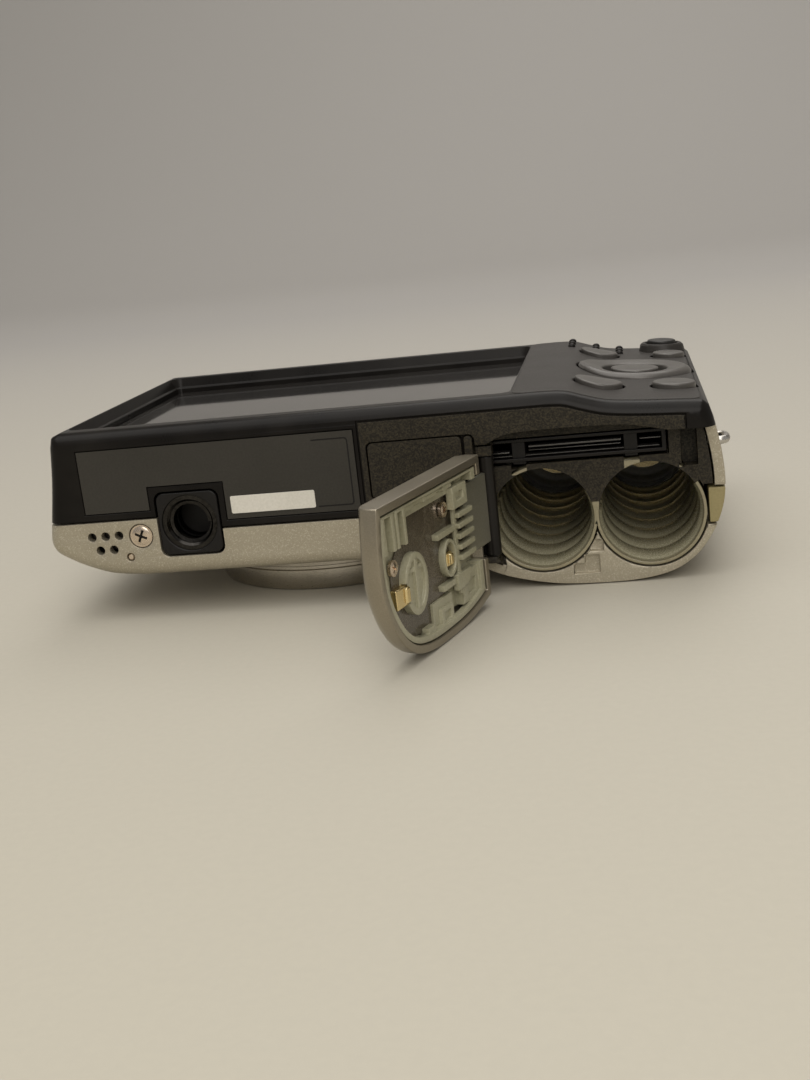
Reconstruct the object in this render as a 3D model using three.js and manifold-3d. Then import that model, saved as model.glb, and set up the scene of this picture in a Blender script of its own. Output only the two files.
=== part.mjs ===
// Compact digital camera, in millimetres. It lies on its lens ring with its screen facing up:
// +X is the grip and battery end, +Y the top face with the shutter button, +Z the rear face.
// The battery door is open. Door pieces are drawn where they sit when it is closed, then swung out.
import * as THREE from "three";
import { mergeVertices } from "three/addons/utils/BufferGeometryUtils.js";
import Module from "manifold-3d";

const wasm = await Module();
wasm.setup();

// Case
const HEIGHT = 59.7;
const DEPTH = 28.8;
const WALL = 1.5;
const EDGE_ROUND = 2;
const GAP = 0.25;
const FRONT_Z = 6.5;
const DECK_Z = 24.6;
const SEAM = { left: 15.4, middle: 13.2, door: 22.1, stepX: -28.3, doorX: 14.4 };

// Screen
const SCREEN = { x0: -45.3, x1: 18.7, y0: 5, y1: 55, top: 26.2, thick: 1.1, rimSlope: 1.1 };
const LCD = { x0: -43.5, x1: 17.5, y0: 7.5, y1: 53.3, z0: 22.3, z1: 24.4 };

// Lens
const LENS = { x: -12.5, y: 29.3, ringRadius: 20.5, boreRadius: 17.3, outerRadius: 16.8, innerRadius: 13 };
const APERTURE_RADIUS = 4.2;
const BLADE_PIVOT = 9;

// Batteries and card
const CELL_RADIUS = 7.35;
const CELLS = [
  { x: 23.04, z: 10.25 },
  { x: 38.4, z: 10.1 },
];
const CHAMBER = { skin: 0.45, y0: 3.5, bottom: 55, y1: 56 };
const CARD = { x0: 15.6, x1: 41.1, y0: 3.7, y1: 28, z0: 18.75, z1: 22 };

// Battery door
const HINGE = { x: 15.9, y: 1.7, z0: 6, z1: 20.4 };
const DOOR = { thick: 3.2, skin: 0.9, rim: 1.1, x0: 17.6, top: 21.9, openAngle: 108, slideOut: 4 };
const PLATE = { x0: 21.3, x1: 42.3, z0: 4.9, z1: 17.1, y0: 2.4, y1: 2.9 };
const DOOR_CONTACTS = [
  { x0: 22.1, x1: 24.6, z0: 7.6, z1: 12.6 },
  { x0: 36, x1: 40.6, z0: 7.4, z1: 12.6 },
];
const DOOR_SCREW_TOP = 3.35;
const DOOR_SCREWS = [
  { x: 29.6, z: 15.6, y0: 2.95 },
  { x: 46.2, z: 13.8, y0: 3.05 },
];

// Bottom fittings
const TRIPOD = { x: -28.3, z: 14.25, size: 9.3, thread: 3.175 };
const LABEL = { x0: -44, x1: -2.5, top: 26, left: 16.6, right: 14.4, thick: 0.25 };
const PORT = { x0: -0.6, x1: 12.8, z0: 15.7, z1: 23.8 };
const SPEAKER_HOLES = [
  [-43.6, 13.1],
  [-41.6, 13.1],
  [-39.4, 13.1],
  [-42.6, 11],
  [-40.4, 11],
];
const BOTTOM_SCREW = { x: -36, z: 12.8, radius: 1.7 };
const CASE_PIN = { x: -38.1, z: 9.7, radius: 0.5 };

// End, top and front fittings
const DC_COVER = { x0: 46.5, y0: DOOR.thick + 0.35, y1: 8, z0: 8, z1: 13 };
const EYELET = { y0: 10, y1: 18, z0: 15.6, z1: 20 };
const FLASH = { x0: -2, x1: 10, y0: 49.6, y1: 55.6 };
const TIMER_LAMP = { x: 12.9, y: 51, radius: 1.5 };
const SHUTTER = { x: 31, z: 12.5, radius: 4.2, leverInner: 4.7, leverOuter: 7 };
const POWER = { x: 12, z: 9.8, radius: 2.6 };

// Keys on the control deck
const CONTROLS = {
  menu: { x: 32.2, y: 13.6, radius: 3.4 },
  delete: { x: 43, y: 13.8, radius: 3.1 },
  playback: { x: 43.4, y: 46.4, radius: 2.6 },
  mode: { x: 32, y: 46.4, radius: 3 },
  record: { x: 42.6, y: 54.4, radius: 2.4 },
};
const SELECTOR = { x: 37.6, y: 30, outer: 8.7, inner: 5, okRadius: 3.7 };
const KEY_TOP = 0.45;

const black = new THREE.MeshStandardMaterial({ color: 0x1e1a17, roughness: 0.45, metalness: 0 });
const deckGrey = new THREE.MeshStandardMaterial({ color: 0x6a6662, roughness: 0.4, metalness: 0 });
const silver = new THREE.MeshStandardMaterial({ color: 0xa59c86, roughness: 0.38, metalness: 0.7 });
const khaki = new THREE.MeshStandardMaterial({ color: 0x8f8768, roughness: 0.55, metalness: 0 });
const rubber = new THREE.MeshStandardMaterial({ color: 0x24201c, roughness: 0.8, metalness: 0 });
const steel = new THREE.MeshStandardMaterial({ color: 0xb8b2a8, roughness: 0.3, metalness: 1 });
const gold = new THREE.MeshStandardMaterial({ color: 0xc9b27a, roughness: 0.3, metalness: 1 });
const board = new THREE.MeshStandardMaterial({ color: 0x1f4a2c, roughness: 0.5, metalness: 0 });
const glass = new THREE.MeshStandardMaterial({ color: 0x6d6864, roughness: 0.08, metalness: 0 });
const brown = new THREE.MeshStandardMaterial({ color: 0x2f2418, roughness: 0.5, metalness: 0 });
const label = new THREE.MeshStandardMaterial({ color: 0x3f3c36, roughness: 0.5, metalness: 0 });
const white = new THREE.MeshStandardMaterial({ color: 0xd8d4cc, roughness: 0.6, metalness: 0 });

// Turns a closed geometry into a solid that can be cut and joined, without its collapsed triangles.
function solid(geometry) {
  const bare = geometry.clone();
  bare.deleteAttribute("normal");
  bare.deleteAttribute("uv");
  const merged = mergeVertices(bare, 1e-4);
  const vertProperties = new Float32Array(merged.attributes.position.array);
  const corners = [];
  for (let i = 0; i < merged.index.count; i += 3) {
    const [a, b, c] = [0, 1, 2].map((k) => merged.index.getX(i + k));
    if (a !== b && b !== c && c !== a) corners.push(a, b, c);
  }
  return new wasm.Manifold(new wasm.Mesh({ numProp: 3, vertProperties, triVerts: new Uint32Array(corners) }));
}

function geometryOf(body) {
  const mesh = body.getMesh();
  const geometry = new THREE.BufferGeometry();
  geometry.setAttribute("position", new THREE.BufferAttribute(new Float32Array(mesh.vertProperties), 3));
  geometry.setIndex(new THREE.BufferAttribute(new Uint32Array(mesh.triVerts), 1));
  geometry.computeVertexNormals();
  return geometry;
}

function addPiece(group, name, body, material) {
  const mesh = new THREE.Mesh(geometryOf(body), material);
  mesh.name = name;
  group.add(mesh);
}

function union(...bodies) {
  return bodies.reduce((all, body) => all.add(body));
}

function shapeOf(points) {
  return new THREE.Shape(points.map(([a, b]) => new THREE.Vector2(a, b)));
}

// Extrudes an outline in X and Z from y0 to y1.
function alongY(points, y0, y1) {
  const geometry = new THREE.ExtrudeGeometry(shapeOf(points), { depth: y1 - y0, bevelEnabled: false });
  geometry.rotateX(Math.PI / 2);
  geometry.translate(0, y1, 0);
  return solid(geometry);
}

// Extrudes an outline in X and Y from z0 to z1.
function alongZ(points, z0, z1) {
  const geometry = new THREE.ExtrudeGeometry(shapeOf(points), { depth: z1 - z0, bevelEnabled: false });
  geometry.translate(0, 0, z0);
  return solid(geometry);
}

function box(x0, x1, y0, y1, z0, z1) {
  const geometry = new THREE.BoxGeometry(x1 - x0, y1 - y0, z1 - z0);
  geometry.translate((x0 + x1) / 2, (y0 + y1) / 2, (z0 + z1) / 2);
  return solid(geometry);
}

// A rectangle with round corners, as a list of points.
function roundRectangle(a0, a1, b0, b1, radius, steps = 4) {
  const corners = [
    [a1 - radius, b0 + radius, -90],
    [a1 - radius, b1 - radius, 0],
    [a0 + radius, b1 - radius, 90],
    [a0 + radius, b0 + radius, 180],
  ];
  const points = [];
  for (const [a, b, start] of corners) {
    for (let i = 0; i <= steps; i++) {
      const angle = THREE.MathUtils.degToRad(start + (90 * i) / steps);
      points.push([a + radius * Math.cos(angle), b + radius * Math.sin(angle)]);
    }
  }
  return points;
}

// A body of revolution about a line along Z: its profile is a list of [radius, z].
function turnedZ(x, y, profile, segments = 40) {
  const points = profile.map(([r, z]) => new THREE.Vector2(r, z));
  const geometry = new THREE.LatheGeometry(points, segments);
  geometry.rotateX(Math.PI / 2);
  geometry.translate(x, y, 0);
  return outward(solid(geometry));
}

// The same about a line along Y: its profile is a list of [radius, y].
function turnedY(x, z, profile, segments = 32) {
  const points = profile.map(([r, y]) => new THREE.Vector2(r, y));
  const geometry = new THREE.LatheGeometry(points, segments);
  geometry.translate(x, 0, z);
  return outward(solid(geometry));
}

// Turns a solid the right way out when its profile ran the other way round.
function outward(body) {
  if (body.volume() > 0) return body;
  const mesh = body.getMesh();
  const triVerts = new Uint32Array(mesh.triVerts).reverse();
  const vertProperties = new Float32Array(mesh.vertProperties);
  return new wasm.Manifold(new wasm.Mesh({ numProp: 3, vertProperties, triVerts }));
}

function rodZ(x, y, radius, z0, z1, segments = 32) {
  return turnedZ(x, y, [[0, z0], [radius, z0], [radius, z1], [0, z1]], segments);
}

function tubeZ(x, y, inner, outer, z0, z1, segments = 40) {
  return turnedZ(x, y, [[inner, z0], [outer, z0], [outer, z1], [inner, z1], [inner, z0]], segments);
}

function rodY(x, z, radius, y0, y1, segments = 32) {
  return turnedY(x, z, [[0, y0], [radius, y0], [radius, y1], [0, y1]], segments);
}

function tubeY(x, z, inner, outer, y0, y1, segments = 32) {
  return turnedY(x, z, [[inner, y0], [outer, y0], [outer, y1], [inner, y1], [inner, y0]], segments);
}

function smooth(points, steps) {
  const curve = new THREE.SplineCurve(points.map(([a, b]) => new THREE.Vector2(a, b)));
  return curve.getPoints(steps).map((p) => [p.x, p.y]);
}

// The case's outline seen from its bottom face: round left end, flat front, bulging grip,
// and a control deck that steps down from the screen's rim.
function caseOutline() {
  const leftEnd = [
    [-48.4, 26.9],
    [-49.1, 21.5],
    [-50.2, 15.5],
    [-50.6, 12.8],
    [-50, 11],
    [-48.2, 9.7],
    [-45.4, 8.3],
    [-41.5, 7],
    [-36.5, FRONT_Z],
  ];
  const grip = [
    [8.2, FRONT_Z],
    [10.6, 5.4],
    [13.4, 3.8],
    [16.6, 2.3],
    [20.4, 1.2],
    [25, 0.4],
    [30.5, 0.15],
    [36.5, 0.35],
    [41.2, 1.4],
    [44.6, 3.6],
    [47.1, 7],
    [48.5, 10.6],
    [48.9, 14],
    [48.7, 17.5],
    [48.2, 20.8],
    [47.6, 23.6],
  ];
  const deck = [
    [46.3, 25.9],
    [43, 26.15],
    [38, 26.45],
    [33.5, 26.9],
    [30.5, 27.7],
    [27.6, 28.6],
    [24.5, DEPTH],
  ];
  const corner = [
    [-46.8, DEPTH],
    [-48, 28.3],
  ];
  return [...smooth(leftEnd, 16), ...smooth(grip, 36), [47.1, 25.2], ...smooth(deck, 12), ...corner];
}

function distanceToOutline(point, outline) {
  let nearest = Infinity;
  outline.forEach((start, i) => {
    const a = new THREE.Vector3(start[0], start[1], 0);
    const next = outline[(i + 1) % outline.length];
    const side = new THREE.Line3(a, new THREE.Vector3(next[0], next[1], 0));
    const p = new THREE.Vector3(point[0], point[1], 0);
    nearest = Math.min(nearest, side.closestPointToPoint(p, true, new THREE.Vector3()).distanceTo(p));
  });
  return nearest;
}

// Moves each side of a closed outline inwards by a distance. A corner that this closes up stays on
// the last good point, so that the number of points is unchanged.
function inset(points, distance) {
  const turn = THREE.ShapeUtils.area(points.map(([a, b]) => new THREE.Vector2(a, b))) > 0 ? 1 : -1;
  const moved = points.map((point, i) => {
    const before = points[(i + points.length - 1) % points.length];
    const after = points[(i + 1) % points.length];
    const d1 = new THREE.Vector2(point[0] - before[0], point[1] - before[1]).normalize();
    const d2 = new THREE.Vector2(after[0] - point[0], after[1] - point[1]).normalize();
    const n1 = new THREE.Vector2(-d1.y, d1.x).multiplyScalar(turn);
    const n2 = new THREE.Vector2(-d2.y, d2.x).multiplyScalar(turn);
    const bisector = n1.clone().add(n2).normalize();
    const reach = distance / bisector.dot(n1);
    return [point[0] + bisector.x * reach, point[1] + bisector.y * reach];
  });
  const good = moved.map((point) => distanceToOutline(point, points) > distance - 0.003);
  return moved.map((point, i) => {
    let k = i;
    while (!good[k]) k = (k + moved.length - 1) % moved.length;
    return moved[k];
  });
}

// Drops repeated points, and points on the straight line between their neighbours.
function withoutRepeats(points) {
  const apart = points.filter((point, i) => {
    const before = points[(i + points.length - 1) % points.length];
    return Math.hypot(point[0] - before[0], point[1] - before[1]) > 2e-3;
  });
  return apart.filter((point, i) => {
    const before = apart[(i + apart.length - 1) % apart.length];
    const after = apart[(i + 1) % apart.length];
    const cross =
      (point[0] - before[0]) * (after[1] - point[1]) - (point[1] - before[1]) * (after[0] - point[0]);
    return Math.abs(cross) > 2e-4;
  });
}

// Extrudes an outline in X and Z from y0 to y1, with its end edges rounded by the given radius.
function roundedAlongY(points, y0, y1, round, steps = 3) {
  const rings = [];
  for (let i = 0; i <= steps; i++) {
    const angle = (Math.PI / 2) * (i / steps);
    const ring = inset(points, round * (1 - Math.sin(angle)));
    const rise = round * (1 - Math.cos(angle));
    rings.push({ ring, low: y0 + rise, high: y1 - rise });
  }
  const stack = [
    ...rings.map(({ ring, low }) => ring.map(([x, z]) => [x, low, z])),
    ...rings.toReversed().map(({ ring, high }) => ring.map(([x, z]) => [x, high, z])),
  ];
  const position = [];
  for (let r = 0; r + 1 < stack.length; r++) {
    points.forEach((_, i) => {
      const k = (i + 1) % points.length;
      position.push(...stack[r][i], ...stack[r + 1][k], ...stack[r][k]);
      position.push(...stack[r][i], ...stack[r + 1][i], ...stack[r + 1][k]);
    });
  }
  const cap = withoutRepeats(rings[0].ring);
  const faces = THREE.ShapeUtils.triangulateShape(cap.map(([x, z]) => new THREE.Vector2(x, z)), []);
  for (const [a, b, c] of faces) {
    for (const i of [a, b, c]) position.push(cap[i][0], y0, cap[i][1]);
    for (const i of [a, c, b]) position.push(cap[i][0], y1, cap[i][1]);
  }
  const geometry = new THREE.BufferGeometry();
  geometry.setAttribute("position", new THREE.Float32BufferAttribute(position, 3));
  return solid(geometry);
}

const OUTLINE = caseOutline();
const caseSolid = roundedAlongY(OUTLINE, 0, HEIGHT, EDGE_ROUND);
const belowDeck = box(-70, 70, -10, HEIGHT + 10, -5, DECK_Z);
const innerOutline = withoutRepeats(inset(OUTLINE, WALL));
const caseHollow = roundedAlongY(innerOutline, WALL, HEIGHT - WALL, 0.8).intersect(belowDeck);

// The region behind the seam between the two covers, grown by a margin on every side of the seam.
function behindSeam(margin) {
  const outline = [
    [-70, SEAM.left - margin],
    [SEAM.stepX - margin, SEAM.left - margin],
    [SEAM.stepX - margin, SEAM.middle - margin],
    [SEAM.doorX + margin, SEAM.middle - margin],
    [SEAM.doorX + margin, SEAM.door - margin],
    [70, SEAM.door - margin],
    [70, 40],
    [-70, 40],
  ];
  return alongY(outline, -10, HEIGHT + 10);
}

const doorRecess = box(SEAM.doorX - 0.05, 60, -1, DOOR.thick + 0.2, -1, SEAM.door + 0.2);
const tripodPocket = alongY(
  roundRectangle(
    TRIPOD.x - TRIPOD.size / 2 - GAP,
    TRIPOD.x + TRIPOD.size / 2 + GAP,
    TRIPOD.z - TRIPOD.size / 2 - GAP,
    TRIPOD.z + TRIPOD.size / 2 + GAP,
    1.3,
  ),
  -1,
  WALL + 2,
);

// Silver front cover: the front wall, the grip and most of the side and end walls.
function frontCover() {
  let cover = caseSolid.subtract(caseHollow).subtract(behindSeam(0.15));
  const cuts = [
    doorRecess,
    tripodPocket,
    rodZ(LENS.x, LENS.y, LENS.boreRadius, FRONT_Z - 3, FRONT_Z + 4, 48),
    alongZ(roundRectangle(FLASH.x0 - GAP, FLASH.x1 + GAP, FLASH.y0 - GAP, FLASH.y1 + GAP, 1), 0, 12),
    rodZ(TIMER_LAMP.x, TIMER_LAMP.y, TIMER_LAMP.radius + GAP, 0, 12, 20),
    rodY(SHUTTER.x, SHUTTER.z, SHUTTER.radius - 1.2, HEIGHT - 5, HEIGHT + 5),
    rodY(POWER.x, POWER.z, POWER.radius + GAP, HEIGHT - 5, HEIGHT + 5, 24),
    rodY(BOTTOM_SCREW.x, BOTTOM_SCREW.z, BOTTOM_SCREW.radius + 0.15, -1, 0.9, 24),
    rodY(BOTTOM_SCREW.x, BOTTOM_SCREW.z, 1.1, -1, 5, 16),
    rodY(CASE_PIN.x, CASE_PIN.z, CASE_PIN.radius + 0.1, -1, 5, 12),
    box(DC_COVER.x0 - 0.3, 60, -1, DC_COVER.y1 + 0.3, DC_COVER.z0 - 0.3, DC_COVER.z1 + 0.3),
    box(46, 60, EYELET.y0 + 1, EYELET.y1 - 1, EYELET.z0 + 1, EYELET.z1 - 1),
  ];
  for (const [x, z] of SPEAKER_HOLES) cuts.push(rodY(x, z, 0.65, -1, 5, 12));
  for (const cell of CELLS) {
    const radius = CELL_RADIUS + CHAMBER.skin + GAP;
    cuts.push(rodY(cell.x, cell.z, radius, CHAMBER.y0 - 1, CHAMBER.y1 + GAP, 40));
  }
  for (const cut of cuts) cover = cover.subtract(cut);
  return cover;
}

// Height of the control deck at a distance x along the case.
function deckHeight(x) {
  if (x > 33) return THREE.MathUtils.mapLinear(x, 33, 46, 26.95, 26);
  return THREE.MathUtils.mapLinear(x, 24.5, 33, DEPTH, 26.95);
}

// Black rear cover: the raised rim round the screen, the control deck and the rear half of the walls.
function rearCover() {
  let cover = caseSolid.subtract(caseHollow).intersect(behindSeam(-0.15));
  const slope = SCREEN.rimSlope;
  const windowSeat = SCREEN.top - SCREEN.thick - 0.1;
  const mouth = [
    [SCREEN.x0 - GAP, SCREEN.top],
    [SCREEN.x1 + GAP, SCREEN.top],
    [SCREEN.x1 + GAP + slope, DEPTH + 0.01],
    [SCREEN.x0 - GAP - slope, DEPTH + 0.01],
  ];
  const cuts = [
    alongY(mouth, SCREEN.y0 - 0.6, SCREEN.y1 + 0.6),
    box(SCREEN.x0 - GAP, SCREEN.x1 + GAP, SCREEN.y0 - GAP, SCREEN.y1 + GAP, windowSeat, DEPTH),
    box(LCD.x0 - 0.3, LCD.x1 + 0.3, LCD.y0 - 0.3, LCD.y1 + 0.3, DECK_Z - 1, DEPTH),
    rodZ(SELECTOR.x, SELECTOR.y, SELECTOR.outer + GAP, DECK_Z - 1, DEPTH + 1, 48),
    tripodPocket,
    alongY(labelOutline(0.2), -1, LABEL.thick + 0.15),
    box(PORT.x0 - 0.2, PORT.x1 + 1.9, -1, 0.95, PORT.z0 - 0.2, PORT.z1 + 0.2),
    box(PORT.x1 + 0.3, PORT.x1 + 1.9, -1, 0.95, 14.4, PORT.z0),
    box(PORT.x0 + 1.6, PORT.x1 - 1.6, -1, 5, PORT.z0 + 1, PORT.z1 - 1),
    box(SEAM.doorX - 0.15, 41, -1, DOOR.thick + 0.2, SEAM.door - 1, 23.4),
    rodY(SHUTTER.x, SHUTTER.z, SHUTTER.radius + 4, HEIGHT - 5, HEIGHT + 5),
  ];
  for (const key of Object.values(CONTROLS)) {
    cuts.push(rodZ(key.x, key.y, key.radius + GAP, DECK_Z - 1, DEPTH + 1, 24));
  }
  for (const cut of cuts) cover = cover.subtract(cut);
  return cover;
}

// Outline of the rating label, stepped round the tripod block.
function labelOutline(grow) {
  const notchRight = TRIPOD.x + TRIPOD.size / 2 + 1.25 - grow;
  return [
    [LABEL.x0 - grow, LABEL.left - grow],
    [TRIPOD.x - TRIPOD.size / 2 - 1.1 + grow, LABEL.left - grow],
    [TRIPOD.x - TRIPOD.size / 2 - 1.1 + grow, 20.1 - grow],
    [notchRight, 20.1 - grow],
    [notchRight, LABEL.right - grow],
    [LABEL.x1 + grow, LABEL.right - grow],
    [LABEL.x1 + grow, LABEL.top + grow],
    [LABEL.x0 - grow, LABEL.top + grow],
  ];
}

// Two joined tubes for the cells, closed at the top face end.
function batteryChamber() {
  const radius = CELL_RADIUS + CHAMBER.skin;
  const tubes = CELLS.map((cell) => rodY(cell.x, cell.z, radius, CHAMBER.y0, CHAMBER.y1, 40));
  const bridge = box(CELLS[0].x, CELLS[1].x, CHAMBER.y0, CHAMBER.y1, 10, 17.9);
  let chamber = union(...tubes, bridge);
  for (const cell of CELLS) {
    chamber = chamber.subtract(rodY(cell.x, cell.z, CELL_RADIUS, 0, CHAMBER.bottom, 40));
  }
  return chamber;
}

// Black inner frame round the mouth of the chamber, with two ears that hold the hinge pin.
function batteryFrame() {
  const radius = CELL_RADIUS + CHAMBER.skin + 0.3;
  const inside = alongY(withoutRepeats(inset(OUTLINE, WALL + 0.25)), 1.9, 7);
  let frame = box(13.2, 46.9, 1.9, 7, 4, 23.6).intersect(inside);
  const ears = [
    box(14.7, 16.9, 0.5, 4.6, 4.9, 5.8),
    box(14.7, 16.9, 0.5, 3.35, 20.6, 22),
  ];
  frame = union(frame, ...ears);
  const cuts = [
    box(14.3, 60, 1, 3.45, 5.8, 20.6),
    box(16.9, 60, 1, 3.45, 0, 24),
    ...CELLS.map((cell) => rodY(cell.x, cell.z, radius, 0, 20, 40)),
    box(CELLS[0].x, CELLS[1].x, 0, 20, 2, 18.2),
    box(17.5, 46.9, 0, 20, 0, 9.5),
    box(CARD.x0 - 0.3, CARD.x1 + 0.3, 3.4, 20, 17.8, CARD.z1 + 0.25),
    box(43.1, 45.3, 0, 6, 16.5, 21.6),
    box(DC_COVER.x0 - 0.6, 60, 0, 20, 2, DC_COVER.z1 + 0.6),
    rodZ(HINGE.x, HINGE.y, 0.72, 4.9, 21.4, 16),
  ];
  for (const cut of cuts) frame = frame.subtract(cut);
  return frame;
}

// Card slot: a flat housing, open towards the battery door.
function cardSlot() {
  const housing = box(CARD.x0, CARD.x1, CARD.y0, CARD.y1, CARD.z0, CARD.z1);
  const mouth = box(CARD.x0 + 0.6, CARD.x1 - 0.6, 0, CARD.y1 - 1, CARD.z0 + 0.5, CARD.z1 - 0.45);
  return housing.subtract(mouth);
}

// Front lens ring with a bevelled rim.
function lensRing() {
  const { ringRadius: outer, boreRadius: inner } = LENS;
  const profile = [
    [inner, 1.6],
    [inner + 0.8, 0],
    [outer - 1.2, 0],
    [outer - 0.3, 1.4],
    [outer, FRONT_Z - 0.2],
    [inner, FRONT_Z - 0.2],
    [inner, 1.6],
  ];
  return turnedZ(LENS.x, LENS.y, profile, 64);
}

// Fixed tube behind the front wall that guides the barrels, closed at the back round the sensor.
function lensHousing() {
  const inner = LENS.boreRadius;
  const profile = [
    [3.6, 18.4],
    [inner, 18.4],
    [inner, 8.3],
    [inner + 1.3, 8.3],
    [inner + 1.3, 19.4],
    [3.6, 19.4],
    [3.6, 18.4],
  ];
  return turnedZ(LENS.x, LENS.y, profile, 48).subtract(
    box(LENS.x - 4.3, LENS.x + 4.3, LENS.y - 3.5, LENS.y + 3.5, 17, 21),
  );
}

function outerBarrel() {
  const profile = [
    [LENS.innerRadius + 0.3, 1],
    [LENS.outerRadius, 1],
    [LENS.outerRadius, 17.4],
    [LENS.outerRadius - 1.2, 17.4],
    [LENS.outerRadius - 1.2, 2.2],
    [LENS.innerRadius + 0.3, 2.2],
    [LENS.innerRadius + 0.3, 1],
  ];
  return turnedZ(LENS.x, LENS.y, profile, 48);
}

function innerBarrel() {
  const outer = LENS.innerRadius;
  const profile = [
    [APERTURE_RADIUS, 1.3],
    [APERTURE_RADIUS + 3, 0.6],
    [outer - 0.3, 0.6],
    [outer, 0.9],
    [outer, 16.9],
    [outer - 1.2, 16.9],
    [outer - 1.2, 4.2],
    [7.8, 4.2],
    [7.8, 3.2],
    [outer - 1.2, 3.2],
    [outer - 1.2, 1.7],
    [APERTURE_RADIUS, 1.7],
    [APERTURE_RADIUS, 1.3],
  ];
  return turnedZ(LENS.x, LENS.y, profile, 48);
}

function frontLens() {
  const profile = [[0, 2.75], [3, 2.85], [5.5, 3.15], [7.4, 3.7], [7.4, 5.4], [0, 5.8]];
  return turnedZ(LENS.x, LENS.y, profile, 32);
}

// Half of the lens cover, with the lug that it turns on. The other half is its twin, turned half round.
function coverBlade(turned) {
  const sign = turned ? -1 : 1;
  const outline = [];
  for (let i = 0; i <= 12; i++) {
    const angle = THREE.MathUtils.degToRad(30 + (150 * i) / 12 - 0.5);
    outline.push([5.2 * Math.cos(angle), Math.max(0.12, 5.2 * Math.sin(angle))]);
  }
  outline.push([BLADE_PIVOT, 0.12]);
  outline.push([BLADE_PIVOT, 1.1]);
  const points = outline.map(([a, b]) => [LENS.x + sign * a, LENS.y + sign * b]);
  const lug = rodZ(LENS.x + sign * BLADE_PIVOT, LENS.y, 1.1, 2, 2.4, 16);
  return union(alongZ(points, 2, 2.4), lug);
}

function tripodBlock() {
  const half = TRIPOD.size / 2;
  const outline = roundRectangle(TRIPOD.x - half, TRIPOD.x + half, TRIPOD.z - half, TRIPOD.z + half, 1.2);
  return alongY(outline, 0.05, 6.5).subtract(rodY(TRIPOD.x, TRIPOD.z, TRIPOD.thread + 1.1, -1, 5.7, 32));
}

// Door skin with a rim round its free edges, drawn closed.
function doorCover() {
  const skinRegion = box(DOOR.x0, 60, -1, DOOR.thick, -1, DOOR.top);
  const hollow = alongY(withoutRepeats(inset(OUTLINE, DOOR.rim)), DOOR.skin, DOOR.thick + 1);
  const keep = box(DOOR.x0 + DOOR.rim, 60, -1, 10, -1, DOOR.top - DOOR.rim);
  const passage = box(DOOR.x0 - 1, DOOR.x0 + 3, DOOR.skin + 0.1, 10, HINGE.z0 + 1.2, HINGE.z1 - 1.2);
  const edge = [
    [DOOR.x0 - 0.5, -0.5],
    [DOOR.x0 + 1.7, -0.5],
    [DOOR.x0 - 0.5, 1.7],
  ];
  return caseSolid
    .intersect(skinRegion)
    .subtract(hollow.intersect(keep))
    .subtract(passage)
    .subtract(alongZ(edge, -5, 30));
}

// Moulded frame inside the door: a tray that holds the contact plate and slides on the hinge arm.
function doorInner() {
  const x0 = DOOR.x0 + 1.4;
  const region = box(x0, 60, DOOR.skin + 0.2, DOOR.thick - 0.2, -1, DOOR.top - 1.4);
  const inside = alongY(withoutRepeats(inset(OUTLINE, DOOR.rim + 0.3)), -1, 10);
  const arm = box(0, 29, 0, 1.95, 8.4, 18.6);
  const pocket = alongY(roundRectangle(21, 42.6, 4.6, 17.4, 3), 2.2, 10);
  const front = box(0, 70, 0, 2.2, -1, 3.4);
  return region.intersect(inside).subtract(arm).subtract(pocket).subtract(front);
}

function doorHingeArm() {
  const knuckle = tubeZ(HINGE.x, HINGE.y, 0.75, 1.4, HINGE.z0, HINGE.z1, 24);
  const plate = box(HINGE.x + 1, 27.6, 1.15, 1.75, 8.8, 18.2);
  return union(knuckle, plate.subtract(rodZ(HINGE.x, HINGE.y, 0.75, 0, 30, 24)));
}

function doorContactPlate() {
  return alongY(roundRectangle(PLATE.x0, PLATE.x1, PLATE.z0, PLATE.z1, 2.8), PLATE.y0, PLATE.y1);
}

function connectorCover() {
  const flap = alongY(roundRectangle(PORT.x0, PORT.x1, PORT.z0, PORT.z1, 0.6), 0.05, 0.9);
  const plug = box(PORT.x0 + 2, PORT.x1 - 2, 0.8, 1.9, PORT.z0 + 1.5, PORT.z1 - 1.5);
  return union(flap, plug);
}

function connectorSocket() {
  const shell = box(2, 10.4, 2.2, 7, 17.6, 22);
  return shell.subtract(box(2.5, 9.9, 0, 6.4, 18.1, 21.5));
}

function dcCover() {
  const region = box(DC_COVER.x0, 60, DC_COVER.y0, DC_COVER.y1, DC_COVER.z0, DC_COVER.z1);
  return caseSolid.intersect(region);
}

// Strap eyelet: a bar that bridges a recess in the side wall.
function strapEyelet() {
  const outline = [
    [48.95, EYELET.y0],
    [50.2, EYELET.y0 + 1.4],
    [50.2, EYELET.y1 - 1.4],
    [48.95, EYELET.y1],
  ];
  const bar = alongZ(outline, EYELET.z0 + 1.6, EYELET.z1 - 1.2);
  const feet = [EYELET.y0 + 1.3, EYELET.y1 - 2.7].map((y) =>
    box(46.2, 49.6, y, y + 1.4, EYELET.z0 + 1.6, EYELET.z1 - 1.2),
  );
  return union(bar, ...feet);
}

// A screw with a cross recess in its head, driven in along +Y.
function screwY({ x, z, radius }, y0, length) {
  const head = rodY(x, z, radius, y0, y0 + 0.7, 20);
  const shank = rodY(x, z, radius * 0.5, y0 + 0.5, y0 + length, 12);
  const cross = union(
    box(x - radius * 0.6, x + radius * 0.6, y0 - 1, y0 + 0.4, z - 0.2, z + 0.2),
    box(x - 0.2, x + 0.2, y0 - 1, y0 + 0.4, z - radius * 0.6, z + radius * 0.6),
  );
  return union(head, shank).subtract(cross);
}

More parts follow.
